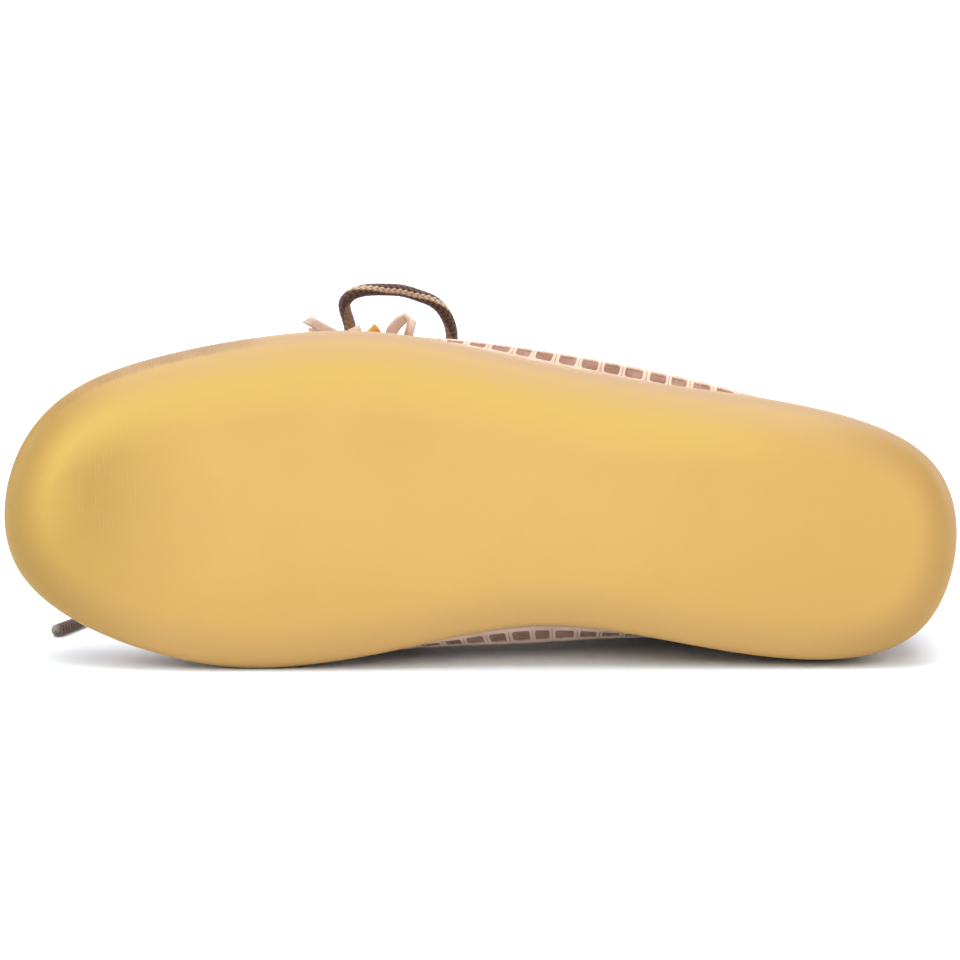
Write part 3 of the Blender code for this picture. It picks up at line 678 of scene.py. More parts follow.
@dataclass
class Last:
    """The shape that the shoe is built on: the sole's rim, the wall's columns and the apron."""

    length: float = 262.0 * MM
    ball_width: float = 92.0 * MM
    back_height: float = 56.0 * MM
    instep_crown: float = 11.5 * MM
    forefoot_thickness: float = 10.0 * MM
    heel_thickness: float = 18.0 * MM
    toe_spring: float = 9.0 * MM
    gap: float = 0.3 * MM
    throat_bow: float = 6.0 * MM
    spring_start: float = 0.22
    wedge_start: float = 0.38
    wedge_end: float = 0.74
    columns: int = 72
    throat_row: int = 5

    def __post_init__(self) -> None:
        """Works out the column of each row of the tables."""
        medial, lateral = self.rim_table()
        steps = np.linalg.norm(np.diff(medial, axis=0), axis=1)
        steps = (steps + np.linalg.norm(np.diff(lateral, axis=0), axis=1)) / 2.0
        half = np.append(0.0, np.cumsum(steps)) / steps.sum() * (self.columns / 2.0)
        self.knots = np.append(half, self.columns - half[-2:0:-1])
        self.throat = float(int(round(self.knots[self.throat_row])))

    def rim_table(self) -> list[Array]:
        """The sole's widest line on each side, as places in plan."""
        return sided(RIM, ("{}_along", "{}_across"), (self.length, self.ball_width))

    def spline(self, medial: Array, lateral: Array, at: Array) -> Array:
        """The closed cubic spline through a table's rows, read at these columns.

        Args:
            medial: each row's values on the medial side.
            lateral: each row's values on the lateral side.
            at: the columns, which may be fractions.

        Returns:
            One row of values for each column.
        """
        values = np.array([*medial, *lateral[-2:0:-1]], float)
        knots, count = self.knots, len(self.knots)
        steps = np.diff(np.append(knots, knots[0] + self.columns))
        rises = (np.roll(values, -1, axis=0) - values) / steps[:, None]
        matrix = np.zeros((count, count))
        for i in range(count):
            matrix[i, i - 1] += steps[i - 1] / 6.0
            matrix[i, i] += (steps[i - 1] + steps[i]) / 3.0
            matrix[i, (i + 1) % count] += steps[i] / 6.0
        bends = np.linalg.solve(matrix, rises - np.roll(rises, 1, axis=0))
        at = np.mod(np.asarray(at, float) - knots[0], self.columns) + knots[0]
        i = np.searchsorted(knots, at, side="right") - 1
        j = (i + 1) % count
        h = steps[i][:, None]
        b = (at - knots[i])[:, None] / h
        a = 1.0 - b
        bent = (a**3 - a) * bends[i] + (b**3 - b) * bends[j]
        return a * values[i] + b * values[j] + bent * h * h / 6.0

    def rim(self, columns: Array) -> tuple[Array, Array]:
        """The sole's widest line.

        Args:
            columns: the columns.

        Returns:
            Its points in plan, and the outward direction at each.
        """
        medial, lateral = self.rim_table()
        nudge = 0.05
        ahead = self.spline(medial, lateral, np.asarray(columns) + nudge)
        run = unit(ahead - self.spline(medial, lateral, np.asarray(columns) - nudge))
        return self.spline(medial, lateral, columns), np.stack([-run[:, 1], run[:, 0]], axis=1)

    def spring(self, x: Array) -> Array:
        """How far the toe's spring lifts the sole."""
        share = np.clip((self.spring_start - x / self.length) / self.spring_start, 0.0, None)
        return self.toe_spring * share**2

    def sole_top(self, x: Array) -> Array:
        """Height of the sole's top above the ground."""
        wedge = smoothstep((x / self.length - self.wedge_start) / (self.wedge_end - self.wedge_start))
        lift = self.heel_thickness - self.forefoot_thickness
        return self.spring(x) + self.forefoot_thickness + lift * wedge

    def top_edge(self, columns: Array) -> Array:
        """The wall's top edge, which is the apron's seam and the collar.

        Args:
            columns: the columns.

        Returns:
            Its points, as rows.
        """
        scale = (self.length, self.ball_width, self.back_height)
        edge = self.spline(*sided(TOP, ("{}_along", "{}_across", "height"), scale), columns)
        edge[:, 2] += self.sole_top(edge[:, 0])
        return edge

    def handles(self, columns: Array) -> Array:
        """The four points that shape each column of the wall.

        Args:
            columns: the columns.

        Returns:
            4 by columns by 3.
        """
        rim, outward = self.rim(columns)
        wide, high = self.ball_width, self.back_height
        names = ("inset", "rise", "{}_flare", "tuck_out", "tuck_down")
        bends = self.spline(*sided(BEND, names, (wide, high, wide, wide, high)), columns)
        inset, rise, flare, tuck_out, tuck_down = bends.T
        plan = rim - outward * inset[:, None]
        foot = np.column_stack([plan, self.sole_top(plan[:, 0]) + self.gap])
        lower = np.column_stack([plan + outward * flare[:, None], foot[:, 2] + rise])
        top = self.top_edge(columns)
        upper = np.column_stack([top[:, :2] + outward * tuck_out[:, None], top[:, 2] - tuck_down])
        return np.stack([foot, lower, upper, top])

    def wall(self, columns: Array, shares: Array) -> tuple[Array, Array, Array]:
        """The wall's outer face.

        Args:
            columns: the columns.
            shares: rows by columns, each a share of the way from the sole to the top edge.

        Returns:
            Rows by columns of points, of outward normals and of upward directions.
        """
        shares = np.asarray(shares)[..., None]
        rest = 1.0 - shares
        weights = (rest**3, 3.0 * rest**2 * shares, 3.0 * rest * shares**2, shares**3)

        def at(places: Array) -> Array:
            """The wall's points at these columns."""
            return sum(w * h for w, h in zip(weights, self.handles(places)))

        own = self.handles(columns)
        points = sum(w * h for w, h in zip(weights, own))
        slopes = (rest**2, 2.0 * rest * shares, shares**2)
        up = sum(w * (b - a) for w, a, b in zip(slopes, own, own[1:]))
        nudge = 0.01
        run = at(columns + nudge) - at(columns - nudge)
        up = unit(up)
        return points, unit(np.cross(up, run)), up

    def apron(self, columns: Array, shares: Array) -> Array:
        """The apron's surface.

        Args:
            columns: columns of its medial edge, counted from the toe tip.
            shares: for each, the share of the way from the medial edge to the lateral one.

        Returns:
            Its points, as rows.
        """
        medial = self.top_edge(columns)
        lateral = self.top_edge(self.columns - columns)
        shares = np.asarray(shares)
        hump = 1.0 - (2.0 * shares - 1.0) ** 2
        part = np.asarray(columns) / self.throat
        points = medial * (1.0 - shares[..., None]) + lateral * shares[..., None]
        points[..., 0] += self.throat_bow * hump * part**3
        points[..., 2] += self.instep_crown * hump * part
        return points


LAST = Last()


@dataclass
class Stand:
    """Lays the shoe down as its solids lie, which the sole's mount tells."""

    mount_place: tuple[float, float, float] = (150.0 * MM, -4.0 * MM, 0.0)

    def __post_init__(self) -> None:
        """Reads the mount."""
        mount = next(m for m in frame["record"]["mounts"] if m["name"] == "sole_face")
        up = -np.array(mount["axis"], float)
        along = np.array([-up[2], 0.0, up[0]])
        along = unit(along) * math.copysign(1.0, along[0])
        self.turn = np.column_stack([along, np.cross(up, along), up])
        self.shift = np.array(mount["pos_m"], float) - self.turn @ np.array(self.mount_place)

    def lay(self, points: Array) -> Array:
        """Points in the shoe's own axes, laid down."""
        return np.asarray(points) @ self.turn.T + self.shift

    def stood(self, points: Array) -> Array:
        """Points of the laid shoe, in its own axes."""
        return (np.asarray(points) - self.shift) @ self.turn

    def off_floor(self, points: Array, clearance: float = 0.0) -> Array:
        """Lifts what would lie below the floor.

        Args:
            points: points in the shoe's own axes.
            clearance: how far above the floor they stay.

        Returns:
            The points, some of them moved.
        """
        laid = self.lay(points)
        laid[..., 2] = np.maximum(laid[..., 2], clearance)
        return self.stood(laid)


class Lamp(NamedTuple):
    """A square soft light that looks at the shoe: its place and width in metres and its watts."""

    name: str
    place: tuple[float, float, float]
    width: float
    watts: float


LAMPS = (
    Lamp("overhead", (0.0, 0.1, 1.6), 1.6, 26.0),
    Lamp("behind", (0.0, 2.2, 1.8), 1.8, 17.0),
    Lamp("front", (0.25, -1.8, 1.5), 1.4, 11.6),
    Lamp("toe_side", (-1.9, 0.1, 0.8), 1.2, 15.0),
    Lamp("heel_side", (1.9, 0.1, 0.8), 1.2, 11.0),
)


@dataclass
class Studio:
    """The camera below the sole, a white floor and soft light from above and in front."""

    stand: Stand
    aim: tuple[float, float, float] = (131.14 * MM, -14.28 * MM, 8.0 * MM)
    distance: float = 2.0
    span: float = 263.64 * MM
    sensor: float = 36.0
    floor_size: float = 14.0
    floor_colour: Colour = (0.84, 0.91, 0.97, 1.0)
    sky_colour: Colour = (1.0, 1.0, 1.0, 1.0)
    sky_strength: float = 0.68

    def camera(self) -> None:
        """Places the camera square to the sole, with the toe to the left."""
        data = bpy.data.cameras.new("sole_camera")
        data.sensor_width = self.sensor
        data.lens = self.sensor * self.distance / self.span
        camera = bpy.data.objects.new("sole_camera", data)
        right, medial, up = self.stand.turn.T
        place = self.stand.lay(self.aim) - up * self.distance
        matrix = np.eye(4)
        matrix[:3] = np.column_stack([right, -medial, -up, place])
        camera.matrix_world = Matrix(matrix.tolist())
        bpy.context.scene.collection.objects.link(camera)
        bpy.context.scene.camera = camera

    def floor(self) -> None:
        """Lays a plain white floor."""
        half = self.floor_size / 2.0
        mesh = bpy.data.meshes.new("floor")
        corners = [(-half, -half, 0.0), (half, -half, 0.0), (half, half, 0.0), (-half, half, 0.0)]
        mesh.from_pydata(corners, [], [(0, 1, 2, 3)])
        shader = Shader("white_floor", {"Base Color": self.floor_colour, "Roughness": 0.9})
        mesh.materials.append(shader.material)
        floor = bpy.data.objects.new("floor", mesh)
        bpy.context.scene.collection.objects.link(floor)
        floor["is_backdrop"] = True

    def hang(self, lamp: Lamp) -> None:
        """Hangs a light.

        Args:
            lamp: its name, place, width and power.
        """
        data = bpy.data.lights.new(lamp.name, "AREA")
        data.size = lamp.width
        data.energy = lamp.watts
        light = bpy.data.objects.new(lamp.name, data)
        light.location = lamp.place
        light.rotation_mode = "QUATERNION"
        light.rotation_quaternion = (-Vector(lamp.place)).to_track_quat("-Z", "Y")
        bpy.context.scene.collection.objects.link(light)

    def light(self) -> None:
        """Lights the scene and keeps white as white."""
        world = bpy.data.worlds.new("studio")
        world.use_nodes = True
        sky = world.node_tree.nodes["Background"]
        sky.inputs["Color"].default_value = self.sky_colour
        sky.inputs["Strength"].default_value = self.sky_strength
        scene = bpy.context.scene
        scene.world = world
        for lamp in LAMPS:
            self.hang(lamp)
        scene.view_settings.view_transform = "Standard"


@dataclass
class Outsole:
    """The gum sole: rounded up at its edge, sprung at the toe and wedged at the heel."""

    stand: Stand
    round_width: float = 12.0 * MM
    round_height: float = 6.0 * MM
    lip_height: float = 2.8 * MM
    lip_step: float = 0.7 * MM
    lip: tuple[tuple[float, float], ...] = (
        (0.1, 0.0),
        (0.45, 0.25),
        (1.0, 0.7),
        (1.0, 2.0),
        (1.25, 2.5),
        (2.0, 2.8),
    )
    side_depth: float = -3.0 * MM
    top_depth: float = -6.0 * MM
    fineness: int = 8
    round_steps: int = 12
    cells: int = 30

    def side_height(self, x: Array, share: float) -> Array:
        """Height of the side, a share of the way from its rounding up to the lip."""
        rest = 1 - share
        return LAST.spring(x) * rest + self.round_height * rest + (LAST.sole_top(x) - self.lip_height) * share

    def build(self) -> bpy.types.Object:
        """Builds the sole and hides the plain one.

        Returns:
            The sole.
        """
        last = LAST
        count = last.columns * self.fineness
        columns = np.arange(count + 1) / self.fineness
        rim, outward = last.rim(columns)
        rings, inward = [], []

        def ring(inset: float, height: Callable[[Array], Array], depth: float) -> None:
            """Adds a ring at an inset, with its distance along the surface from the rim."""
            plan = rim - outward * inset
            rings.append(np.column_stack([plan, height(plan[:, 0])]))
            inward.append(depth)

        for i in range(self.round_steps + 1):
            angle = math.pi / 2.0 * i / self.round_steps
            lift = self.round_height * (1.0 - math.cos(angle))
            inset = self.round_width * (1.0 - math.sin(angle))
            ring(inset, lambda x, lift=lift: last.spring(x) + lift, inset)
        for share in (0.5, 1.0):
            ring(0.0, lambda x, share=share: self.side_height(x, share), self.side_depth * share)
        for step, rise in self.lip:
            up = rise * MM
            inset = self.lip_step * step
            ring(inset, lambda x, up=up: last.sole_top(x) - self.lip_height + up, self.side_depth - up)
        stack = np.array(rings)
        plan = stack[:, :, :2]
        around = np.broadcast_to(columns, stack.shape[:2])
        inside = np.broadcast_to(np.array(inward)[:, None], stack.shape[:2])
        draft = Draft("plan", "edge")
        charts = [plan, np.stack([around, inside], axis=2)]
        draft.grid(stack[:, :-1], charts, closed=True, flip=True)
        for ring_points, height, depth, flip in (
            (stack[0], last.spring, self.round_width, True),
            (stack[-1], last.sole_top, self.top_depth, False),
        ):
            self.fill(draft, ring_points[:-1, :2], height, depth, flip)
        sole = draft.mesh("outsole_gum", self.stand, [GumRubber().material()])
        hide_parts("outsole")
        return sole

    def fill(
        self, draft: Draft, ring: Array, height: Callable[[Array], Array], depth: float, flip: bool
    ) -> None:
        """Fills a ring with rows from each medial point to the lateral one across from it.

        Args:
            draft: what the faces go to.
            ring: the ring's points in plan, from the toe tip along the medial side.
            height: the surface's height at x.
            depth: the ring's distance inward from the rim.
            flip: turns the faces over.
        """
        half = len(ring) // 2
        medial = ring[: half + 1]
        lateral = np.vstack([ring[:1], ring[: half - 1 : -1]])
        shares = np.linspace(0.0, 1.0, self.cells + 1)[None, :, None]
        plan = medial[:, None] * (1.0 - shares) + lateral[:, None] * shares
        points = np.concatenate([plan, height(plan[..., :1])], axis=2)
        gap = np.minimum(shares, 1.0 - shares)[..., 0] * np.linalg.norm(medial - lateral, axis=1)[:, None]
        ends = np.minimum(plan[..., 0] - ring[:, 0].min(), ring[:, 0].max() - plan[..., 0])
        inward = depth + np.minimum(gap, ends) if depth > 0.0 else np.full(gap.shape, depth)
        draft.grid(points, [plan, np.stack([gap * 0.0, inward], axis=2)], flip=flip)


def tube(points: Array, radius: Array, sides: int, start: Array) -> Array:
    """The skin of a round cord.

    Args:
        points: the cord's middle line, as rows.
        radius: the cord's radius at each row.
        sides: how many points lie round it.
        start: the direction in which the first point of the first ring lies.

    Returns:
        Rows by sides by 3.
    """
    run = unit(np.gradient(points, axis=0))
    side = np.asarray(start, float)
    rings = []
    turns = np.arange(sides) / sides * 2.0 * math.pi
    for place, along, size in zip(points, run, radius):
        side = unit(side - along * (side @ along))
        other = np.cross(along, side)
        rings.append(place + (np.cos(turns)[:, None] * side + np.sin(turns)[:, None] * other) * size)
    return np.array(rings)


@dataclass
class Crease:
    """A soft trough in the wall: a place, a slant and sizes in the shoe's own lengths."""

    name: str
    side: Side
    x: float
    share: float
    slant: float
    length: float
    width: float
    depth: float


CREASES = (
    Crease("ball fold", Side.LATERAL, 82 * MM, 0.62, 62.0, 11 * MM, 2.2 * MM, 0.8 * MM),
    Crease("ball fold behind", Side.LATERAL, 91 * MM, 0.55, 70.0, 9 * MM, 2.0 * MM, 0.6 * MM),
    Crease("ball fold", Side.MEDIAL, 80 * MM, 0.60, 62.0, 11 * MM, 2.2 * MM, 0.8 * MM),
    Crease("ball fold behind", Side.MEDIAL, 90 * MM, 0.52, 72.0, 9 * MM, 2.0 * MM, 0.6 * MM),
    Crease("quarter slump", Side.LATERAL, 172 * MM, 0.62, 8.0, 24 * MM, 3.4 * MM, 0.7 * MM),
    Crease("quarter slump", Side.MEDIAL, 168 * MM, 0.60, -6.0, 22 * MM, 3.4 * MM, 0.7 * MM),
    Crease("heel slump", Side.LATERAL, 226 * MM, 0.66, 14.0, 14 * MM, 3.0 * MM, 0.6 * MM),
    Crease("heel slump", Side.MEDIAL, 222 * MM, 0.64, -12.0, 14 * MM, 3.0 * MM, 0.6 * MM),
)


# The wall below its top, in millimetres: how deep a row lies and how proud it stands, at the collar
# and at the apron's seam
EDGE_ROWS = (
    ((10.9, -0.2), (3.0, -0.1)),
    ((10.3, 0.5), (2.6, 0.15)),
    ((9.7, 0.95), (2.2, 0.45)),
    ((8.7, 1.1), (1.9, 0.7)),
    ((7.0, 1.35), (1.5, 0.95)),
    ((5.0, 1.45), (1.1, 1.15)),
    ((3.2, 1.3), (0.7, 1.25)),
    ((1.6, 1.05), (0.35, 1.3)),
    ((0.5, 0.8), (0.0, 1.3)),
)


@dataclass
class WovenUpper:
    """The wall: a lattice of double strands over suede, a folded collar and the moccasin seam."""

    stand: Stand
    pitch: float = 6.35 * MM
    rows: float = 5.5
    foot_lateral: float = 1.2 * MM
    foot_medial: float = 2.2 * MM
    thickness: float = 2.0 * MM
    bar: tuple[float, ...] = (0.0, 0.035, 0.07, 0.105, 0.15, 0.26, 0.5, 0.74, 0.85, 0.895, 0.93, 0.965)
    rail: tuple[float, ...] = (0.0, 0.07, 0.12, 0.17, 0.3, 0.5, 0.7, 0.83, 0.88, 0.93)
    medial_window: float = 148.3 * MM
    lateral_window: float = 160.9 * MM
    seam_pitch: float = 3.2 * MM
    ridge_fade: float = 4.0

    def __post_init__(self) -> None:
        """Spaces the lattice so that it closes, with a window's middle at two known places."""
        last = LAST
        fine = np.linspace(0.0, last.columns, 2881)
        rim, _ = last.rim(fine)
        run = np.append(0.0, np.cumsum(np.linalg.norm(np.diff(rim, axis=0), axis=1)))
        count = run / self.pitch
        half = len(fine) // 2
        medial = np.interp(self.medial_window, rim[: half + 1, 0], count[: half + 1])
        lateral = np.interp(self.lateral_window, rim[half:, 0][::-1], count[half:][::-1])
        marks = [0.0, medial, lateral, count[-1]]
        moves = [0.0, round(medial - 0.5) + 0.5 - medial, round(lateral - 0.5) + 0.5 - lateral]
        moves.append(round(count[-1]) - count[-1])
        count = count + np.interp(count, marks, moves)
        total = int(round(count[-1]))
        turn = 2.0 * math.pi * run / run[-1]
        count = count + 0.04 * np.sin(turn * 29.0) + 0.03 * np.sin(turn * 47.0)
        self.counts = np.array([i + step for i in range(total) for step in self.bar] + [float(total)])
        self.columns = np.interp(self.counts, count, fine)
        self.run = np.interp(self.columns, fine, run)

    def seamed(self, columns: Array) -> Array:
        """How much of the moccasin seam a column has: all at the toe, none behind the throat."""
        from_toe = np.minimum(columns, LAST.columns - columns)
        return smoothstep((LAST.throat - from_toe) / self.ridge_fade + 0.5)

    def relief(self, count: Array, row: Array) -> Array:
        """How far the lattice stands out of the wall: strands up, windows down and slightly domed."""
        across = np.abs(count - np.round(count))
        up = np.abs(row - np.round(row))
        bar = smoothstep((0.155 - across) / 0.05)
        rail = smoothstep((0.175 - up) / 0.06)
        rail = np.where(row < 0.0, 1.0, rail)
        window = ((0.5 - across) / 0.365) ** 5.0 + ((0.5 - up) / 0.355) ** 5.0
        strand = np.where(row < 0.0, 1.0, smoothstep((window - 0.6) / 0.6))
        strand = strand * (1.0 - 0.28 * smoothstep((0.045 - across) / 0.045) * (1.0 - rail))
        over = np.where((np.round(count) + np.round(row)) % 2 > 0.5, 0.16, -0.10)
        crossing = bar * rail * over
        swell = rail * (1.0 - bar) * 0.10 * np.sin(math.pi * (count % 1.0))
        dome = (1.0 - (2.0 * (count % 1.0) - 1.0) ** 4) * (1.0 - (2.0 * (row % 1.0) - 1.0) ** 4)
        return (-0.55 + 0.95 * strand + crossing + swell + 0.28 * dome) * MM

    def waver(self, level: float) -> Array:
        """How far a row of the lattice strays up or down at each column, as hand work does."""
        turn = 2.0 * math.pi * self.run / self.run[-1]
        stray = np.sin(turn * 26.0 + level * 1.7) + 0.7 * np.sin(turn * 61.0 - level * 2.3)
        return 0.17 * MM * stray * math.sin(math.pi * level / self.rows)

    def creased(self, points: Array, shares: Array) -> Array:
        """How far each point of the wall sinks into its creases."""
        sunk = np.zeros(points.shape[:2])
        run, side = self.run[None, :], np.where(self.columns < LAST.columns / 2.0, 1.0, -1.0)[None, :]
        half = np.searchsorted(self.columns, LAST.columns / 2.0)
        for crease in CREASES:
            part = slice(0, half) if crease.side is Side.MEDIAL else slice(half, None)
            middle = np.interp(crease.share, [0.0, 1.0], [0.0, 45.0 * MM])
            xs, runs = points[0, part, 0], self.run[part]
            order = np.argsort(xs)
            place = np.interp(crease.x, xs[order], runs[order])
            toe_to_heel = side * (run - place)
            height = shares * 45.0 * MM - middle
            slant = math.radians(crease.slant)
            along = toe_to_heel * math.cos(slant) + height * math.sin(slant)
            across = -toe_to_heel * math.sin(slant) + height * math.cos(slant)
            trough = np.exp(-((along / crease.length) ** 2) - (across / crease.width) ** 2)
            bank = np.exp(-((along / crease.length) ** 2) - ((np.abs(across) / crease.width - 1.9) ** 2))
            sunk += np.where(side == crease.side.value, (trough - 0.3 * bank) * crease.depth, 0.0)
        return sunk

    def build(self) -> list[bpy.types.Object]:
        """Builds the wall, the apron and their stitches."""
        last = LAST
        columns, counts = self.columns, self.counts
        grid = np.linspace(0.0, 1.0, 97)
        arcs = travelled(last.wall(columns, np.repeat(grid[:, None], len(columns), axis=1))[0])
        total = arcs[-1]
        seamed = self.seamed(columns)
        lateral = smoothstep((last.rim(columns)[0][:, 1] / last.ball_width + 0.1) / -0.2 + 0.5)
        foot = self.foot_medial + (self.foot_lateral - self.foot_medial) * lateral
        band = 10.9 * MM * (1.0 - seamed) + 3.0 * MM * seamed
        row_pitch = (total - band - foot) / self.rows
        places, ups = [np.zeros(len(columns)), foot * 0.6], [-1.0, -0.3]
        for i in range(int(self.rows) + 1):
            for step in self.rail:
                if i + step < self.rows:
                    places.append(foot + (i + step) * row_pitch + self.waver(i + step))
                    ups.append(i + step)
        rows = np.array(ups)[:, None]
        outs = list(self.relief(counts[None, :], rows))
        outs[0] = outs[0] * 0.0
        for i, ((dc, pc), (ds, ps)) in enumerate(EDGE_ROWS):
            places.append(total - (dc * (1.0 - seamed) + ds * seamed) * MM)
            outs.append((pc * (1.0 - seamed) + ps * seamed) * MM)
            ups.append(self.rows + 0.3 + 0.1 * i)
        depth = np.array([total - place for place in places])
        at = np.array([[np.interp(a, arcs[:, j], grid) for j, a in enumerate(place)] for place in places])
        points, normals, _ = last.wall(columns, at)
        top_run = travelled(last.top_edge(columns))
        stitch = np.cos(2.0 * math.pi * top_run / self.seam_pitch)
        pucker = seamed * stitch * 0.32 * MM * np.exp(-depth / (4.5 * MM))
        out = np.array(outs) + pucker - self.creased(points, at)
        outer = points + normals * out[..., None]
        top, normal, up = (rows[0] for rows in last.wall(columns, np.ones((1, len(columns)))))
        inner_share = 0.02
        medial = columns <= last.columns / 2.0
        mirrored = np.maximum(np.where(medial, columns, last.columns - columns), 0.4)
        beside = np.where(medial, inner_share, 1.0 - inner_share)
        inward = unit(last.apron(mirrored, beside) - last.apron(mirrored, np.round(beside)))
        blend = seamed[:, None]
        roll = (
            ((0.9, 0.35), (0.5, 1.25)),
            ((0.75, -0.6), (1.1, 0.85)),
            ((0.35, -1.5), (1.7, 0.35)),
            ((-0.4, -1.9), (2.3, -0.5)),
        )
        crest = (pucker[-1] * 0.8)[:, None]
        rolled = []
        for (rise, aside), (reach, lift) in roll:
            collar_row = top + up * rise * MM + normal * aside * MM
            seam_row = top + inward * reach * MM + normal * (lift * MM + crest)
            rolled.append(collar_row * (1.0 - blend) + seam_row * blend)
        inner_depths = np.array([3.0, 8.0, 14.0, 21.0, 28.0])[:, None] * MM
        inner_arcs = np.vstack([np.maximum(total - inner_depths, total * 0.1), total * 0.0])
        inner_at = np.array(
            [[np.interp(a, arcs[:, j], grid) for j, a in enumerate(row)] for row in inner_arcs]
        )
        inside, inside_normals, _ = last.wall(columns, inner_at)
        sunk = self.creased(inside, inner_at)[..., None]
        inside = inside - inside_normals * (self.thickness + sunk)
        inside[-1, :, 2] = outer[0, :, 2]
        stack = np.concatenate([outer, np.array(rolled), inside, outer[:1]])
        stack = self.stand.off_floor(stack, 0.02 * MM)
        rows_up = np.array(ups + [self.rows + 2.0] * (len(stack) - len(ups)))
        chart = np.stack(np.broadcast_arrays(counts[None, :], rows_up[:, None]), axis=2)
        finishes = np.where(np.arange(len(stack) - 1) < len(outer) + len(rolled) - 1, 0, 1)
        draft = Draft("lattice")
        draft.grid(stack[:, :-1], [chart], closed=True, flip=True, finish=finishes)
        wall = draft.mesh("upper_wall", self.stand, [WovenSuede().material(), LiningLeather().material()])
        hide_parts("upper")
        return [wall, self.apron(), *self.stitches(top, normal, up, inward, top_run, seamed)]

    def apron(self) -> bpy.types.Object:
        """Builds the apron: plain suede, gathered along its edge and creased over the ball."""
        last = LAST
        columns = np.linspace(0.3, last.throat, 90)
        edge = np.array([0.0, 0.01, 0.02, 0.035, 0.055, 0.08, 0.11, 0.15])
        shares = np.concatenate([edge, np.linspace(0.2, 0.8, 13), 1.0 - edge[::-1]])
        points = np.stack([last.apron(columns, np.full(len(columns), share)) for share in shares], axis=1)
        along = np.gradient(points, axis=0)
        across = np.gradient(points, axis=1)
        normals = unit(np.cross(across, along))
        x = points[..., 0]
        waver = points[..., 1] * 0.35
        lift = np.zeros(x.shape)
        for place, depth, width in ((58.0, 0.35, 3.2), (68.0, 0.5, 3.0), (77.5, 0.45, 3.2)):
            lift -= depth * MM * np.exp(-(((x + waver - place * MM) / (width * MM)) ** 2))
        run = np.append(0.0, np.cumsum(np.linalg.norm(np.diff(points[:, 0], axis=0), axis=1)))
        width = np.linalg.norm(points[:, 0] - points[:, -1], axis=1)[:, None]
        from_edge = np.minimum(shares, 1.0 - shares)[None, :] * width
        gather = 0.3 * MM * np.cos(2.0 * math.pi * run / self.seam_pitch)[:, None]
        lift += gather * np.exp(-from_edge / (3.0 * MM))
        upper = points + normals * lift[..., None]
        lower = points - normals * self.thickness
        chart = points[..., :2]
        draft = Draft("plan")
        draft.grid(upper, [chart], flip=True)
        draft.grid(lower, [chart], finish=1)
        for rim in (np.s_[0, :], np.s_[-1, :], np.s_[:, 0], np.s_[:, -1]):
            turned = rim in (np.s_[0, :], np.s_[:, -1])
            sides, marks = np.stack([upper[rim], lower[rim]]), np.stack([chart[rim], chart[rim]])
            draft.grid(sides, [marks], flip=not turned)
        finishes = [NUDE_SUEDE.material(), LiningLeather("apron_lining").material()]
        apron = draft.mesh("upper_apron", self.stand, finishes)
        return apron

    def stitches(
        self, top: Array, normal: Array, up: Array, inward: Array, run: Array, seamed: Array
    ) -> list[bpy.types.Object]:
        """Sews the moccasin seam and the collar's fold.

        Args:
            top: points of the wall's top edge.
            normal: the wall's outward normals there.
            up: the wall's upward directions there.
            inward: the apron's inward directions there.
            run: the distance along the top edge.
            seamed: how much of the seam each column has.

        Returns:
            The stitches' piece, in a list.
        """
        draft = Draft("thread")

        def at(place: float, rows: Array) -> Array:
            """A row read at a distance along the top edge."""
            return np.array([np.interp(place, run, rows[:, k]) for k in range(3)])

        def sew(path: Sequence[Array], radius: float) -> None:
            """Adds one stitch, with round ends."""
            line = smooth_route(path, 0.5 * MM)
            size = np.full(len(line), radius)
            size[[0, -1]] = radius * 0.05
            skin = self.stand.off_floor(tube(line, size, 6, (0.31, 0.83, 0.47)), 0.01 * MM)
            draft.grid(skin, [sleeve_chart(6, len(line), 0.5)], closed=True)

        half = int(run[-1] / self.seam_pitch)
        for i in range(half):
            place = (i + 0.5) * self.seam_pitch
            share = np.interp(place, run, seamed)
            if share > 0.6:
                t, n, u, a = at(place, top), at(place, normal), at(place, up), at(place, inward)
                path = [
                    t - u * 2.3 * MM - n * 0.3 * MM,
                    t - u * 1.8 * MM + n * 0.75 * MM,
                    t - u * 0.7 * MM + n * 1.3 * MM,
                    t + a * 0.6 * MM + n * 1.35 * MM,
                    t + a * 1.6 * MM + n * 0.8 * MM,
                    t + a * 2.3 * MM - n * 0.4 * MM,
                ]
                sew(path, 0.36 * MM)
        stitch = 3.0 * MM
        for i in range(int(run[-1] / stitch)):
            place = (i + 0.5) * stitch
            if np.interp(place, run, seamed) > 0.02:
                continue
            for depth, proud in ((8.5, 1.1), (2.0, 1.1)):
                path = []
                for shift, sink in ((-1.05, -0.35), (-0.7, 0.06), (0.0, 0.14), (0.7, 0.06), (1.05, -0.35)):
                    mark = place + shift * MM
                    column = np.interp(mark, run, self.columns)
                    path.append(self.off_top(column, depth * MM) + at(mark, normal) * (proud + sink) * MM)
                sew(path, 0.28 * MM)
        threads = draft.mesh("upper_stitches", self.stand, [Thread().material()])
        return [threads]

    def off_top(self, column: float, depth: float) -> Array:
        """The wall's point at a depth below its top edge."""
        grid = np.linspace(1.0, 0.6, 24)
        line = LAST.wall(np.array([column]), grid[:, None])[0][:, 0]
        arcs = np.append(0.0, np.cumsum(np.linalg.norm(np.diff(line, axis=0), axis=1)))
        return np.array([np.interp(depth, arcs, line[:, k]) for k in range(3)])


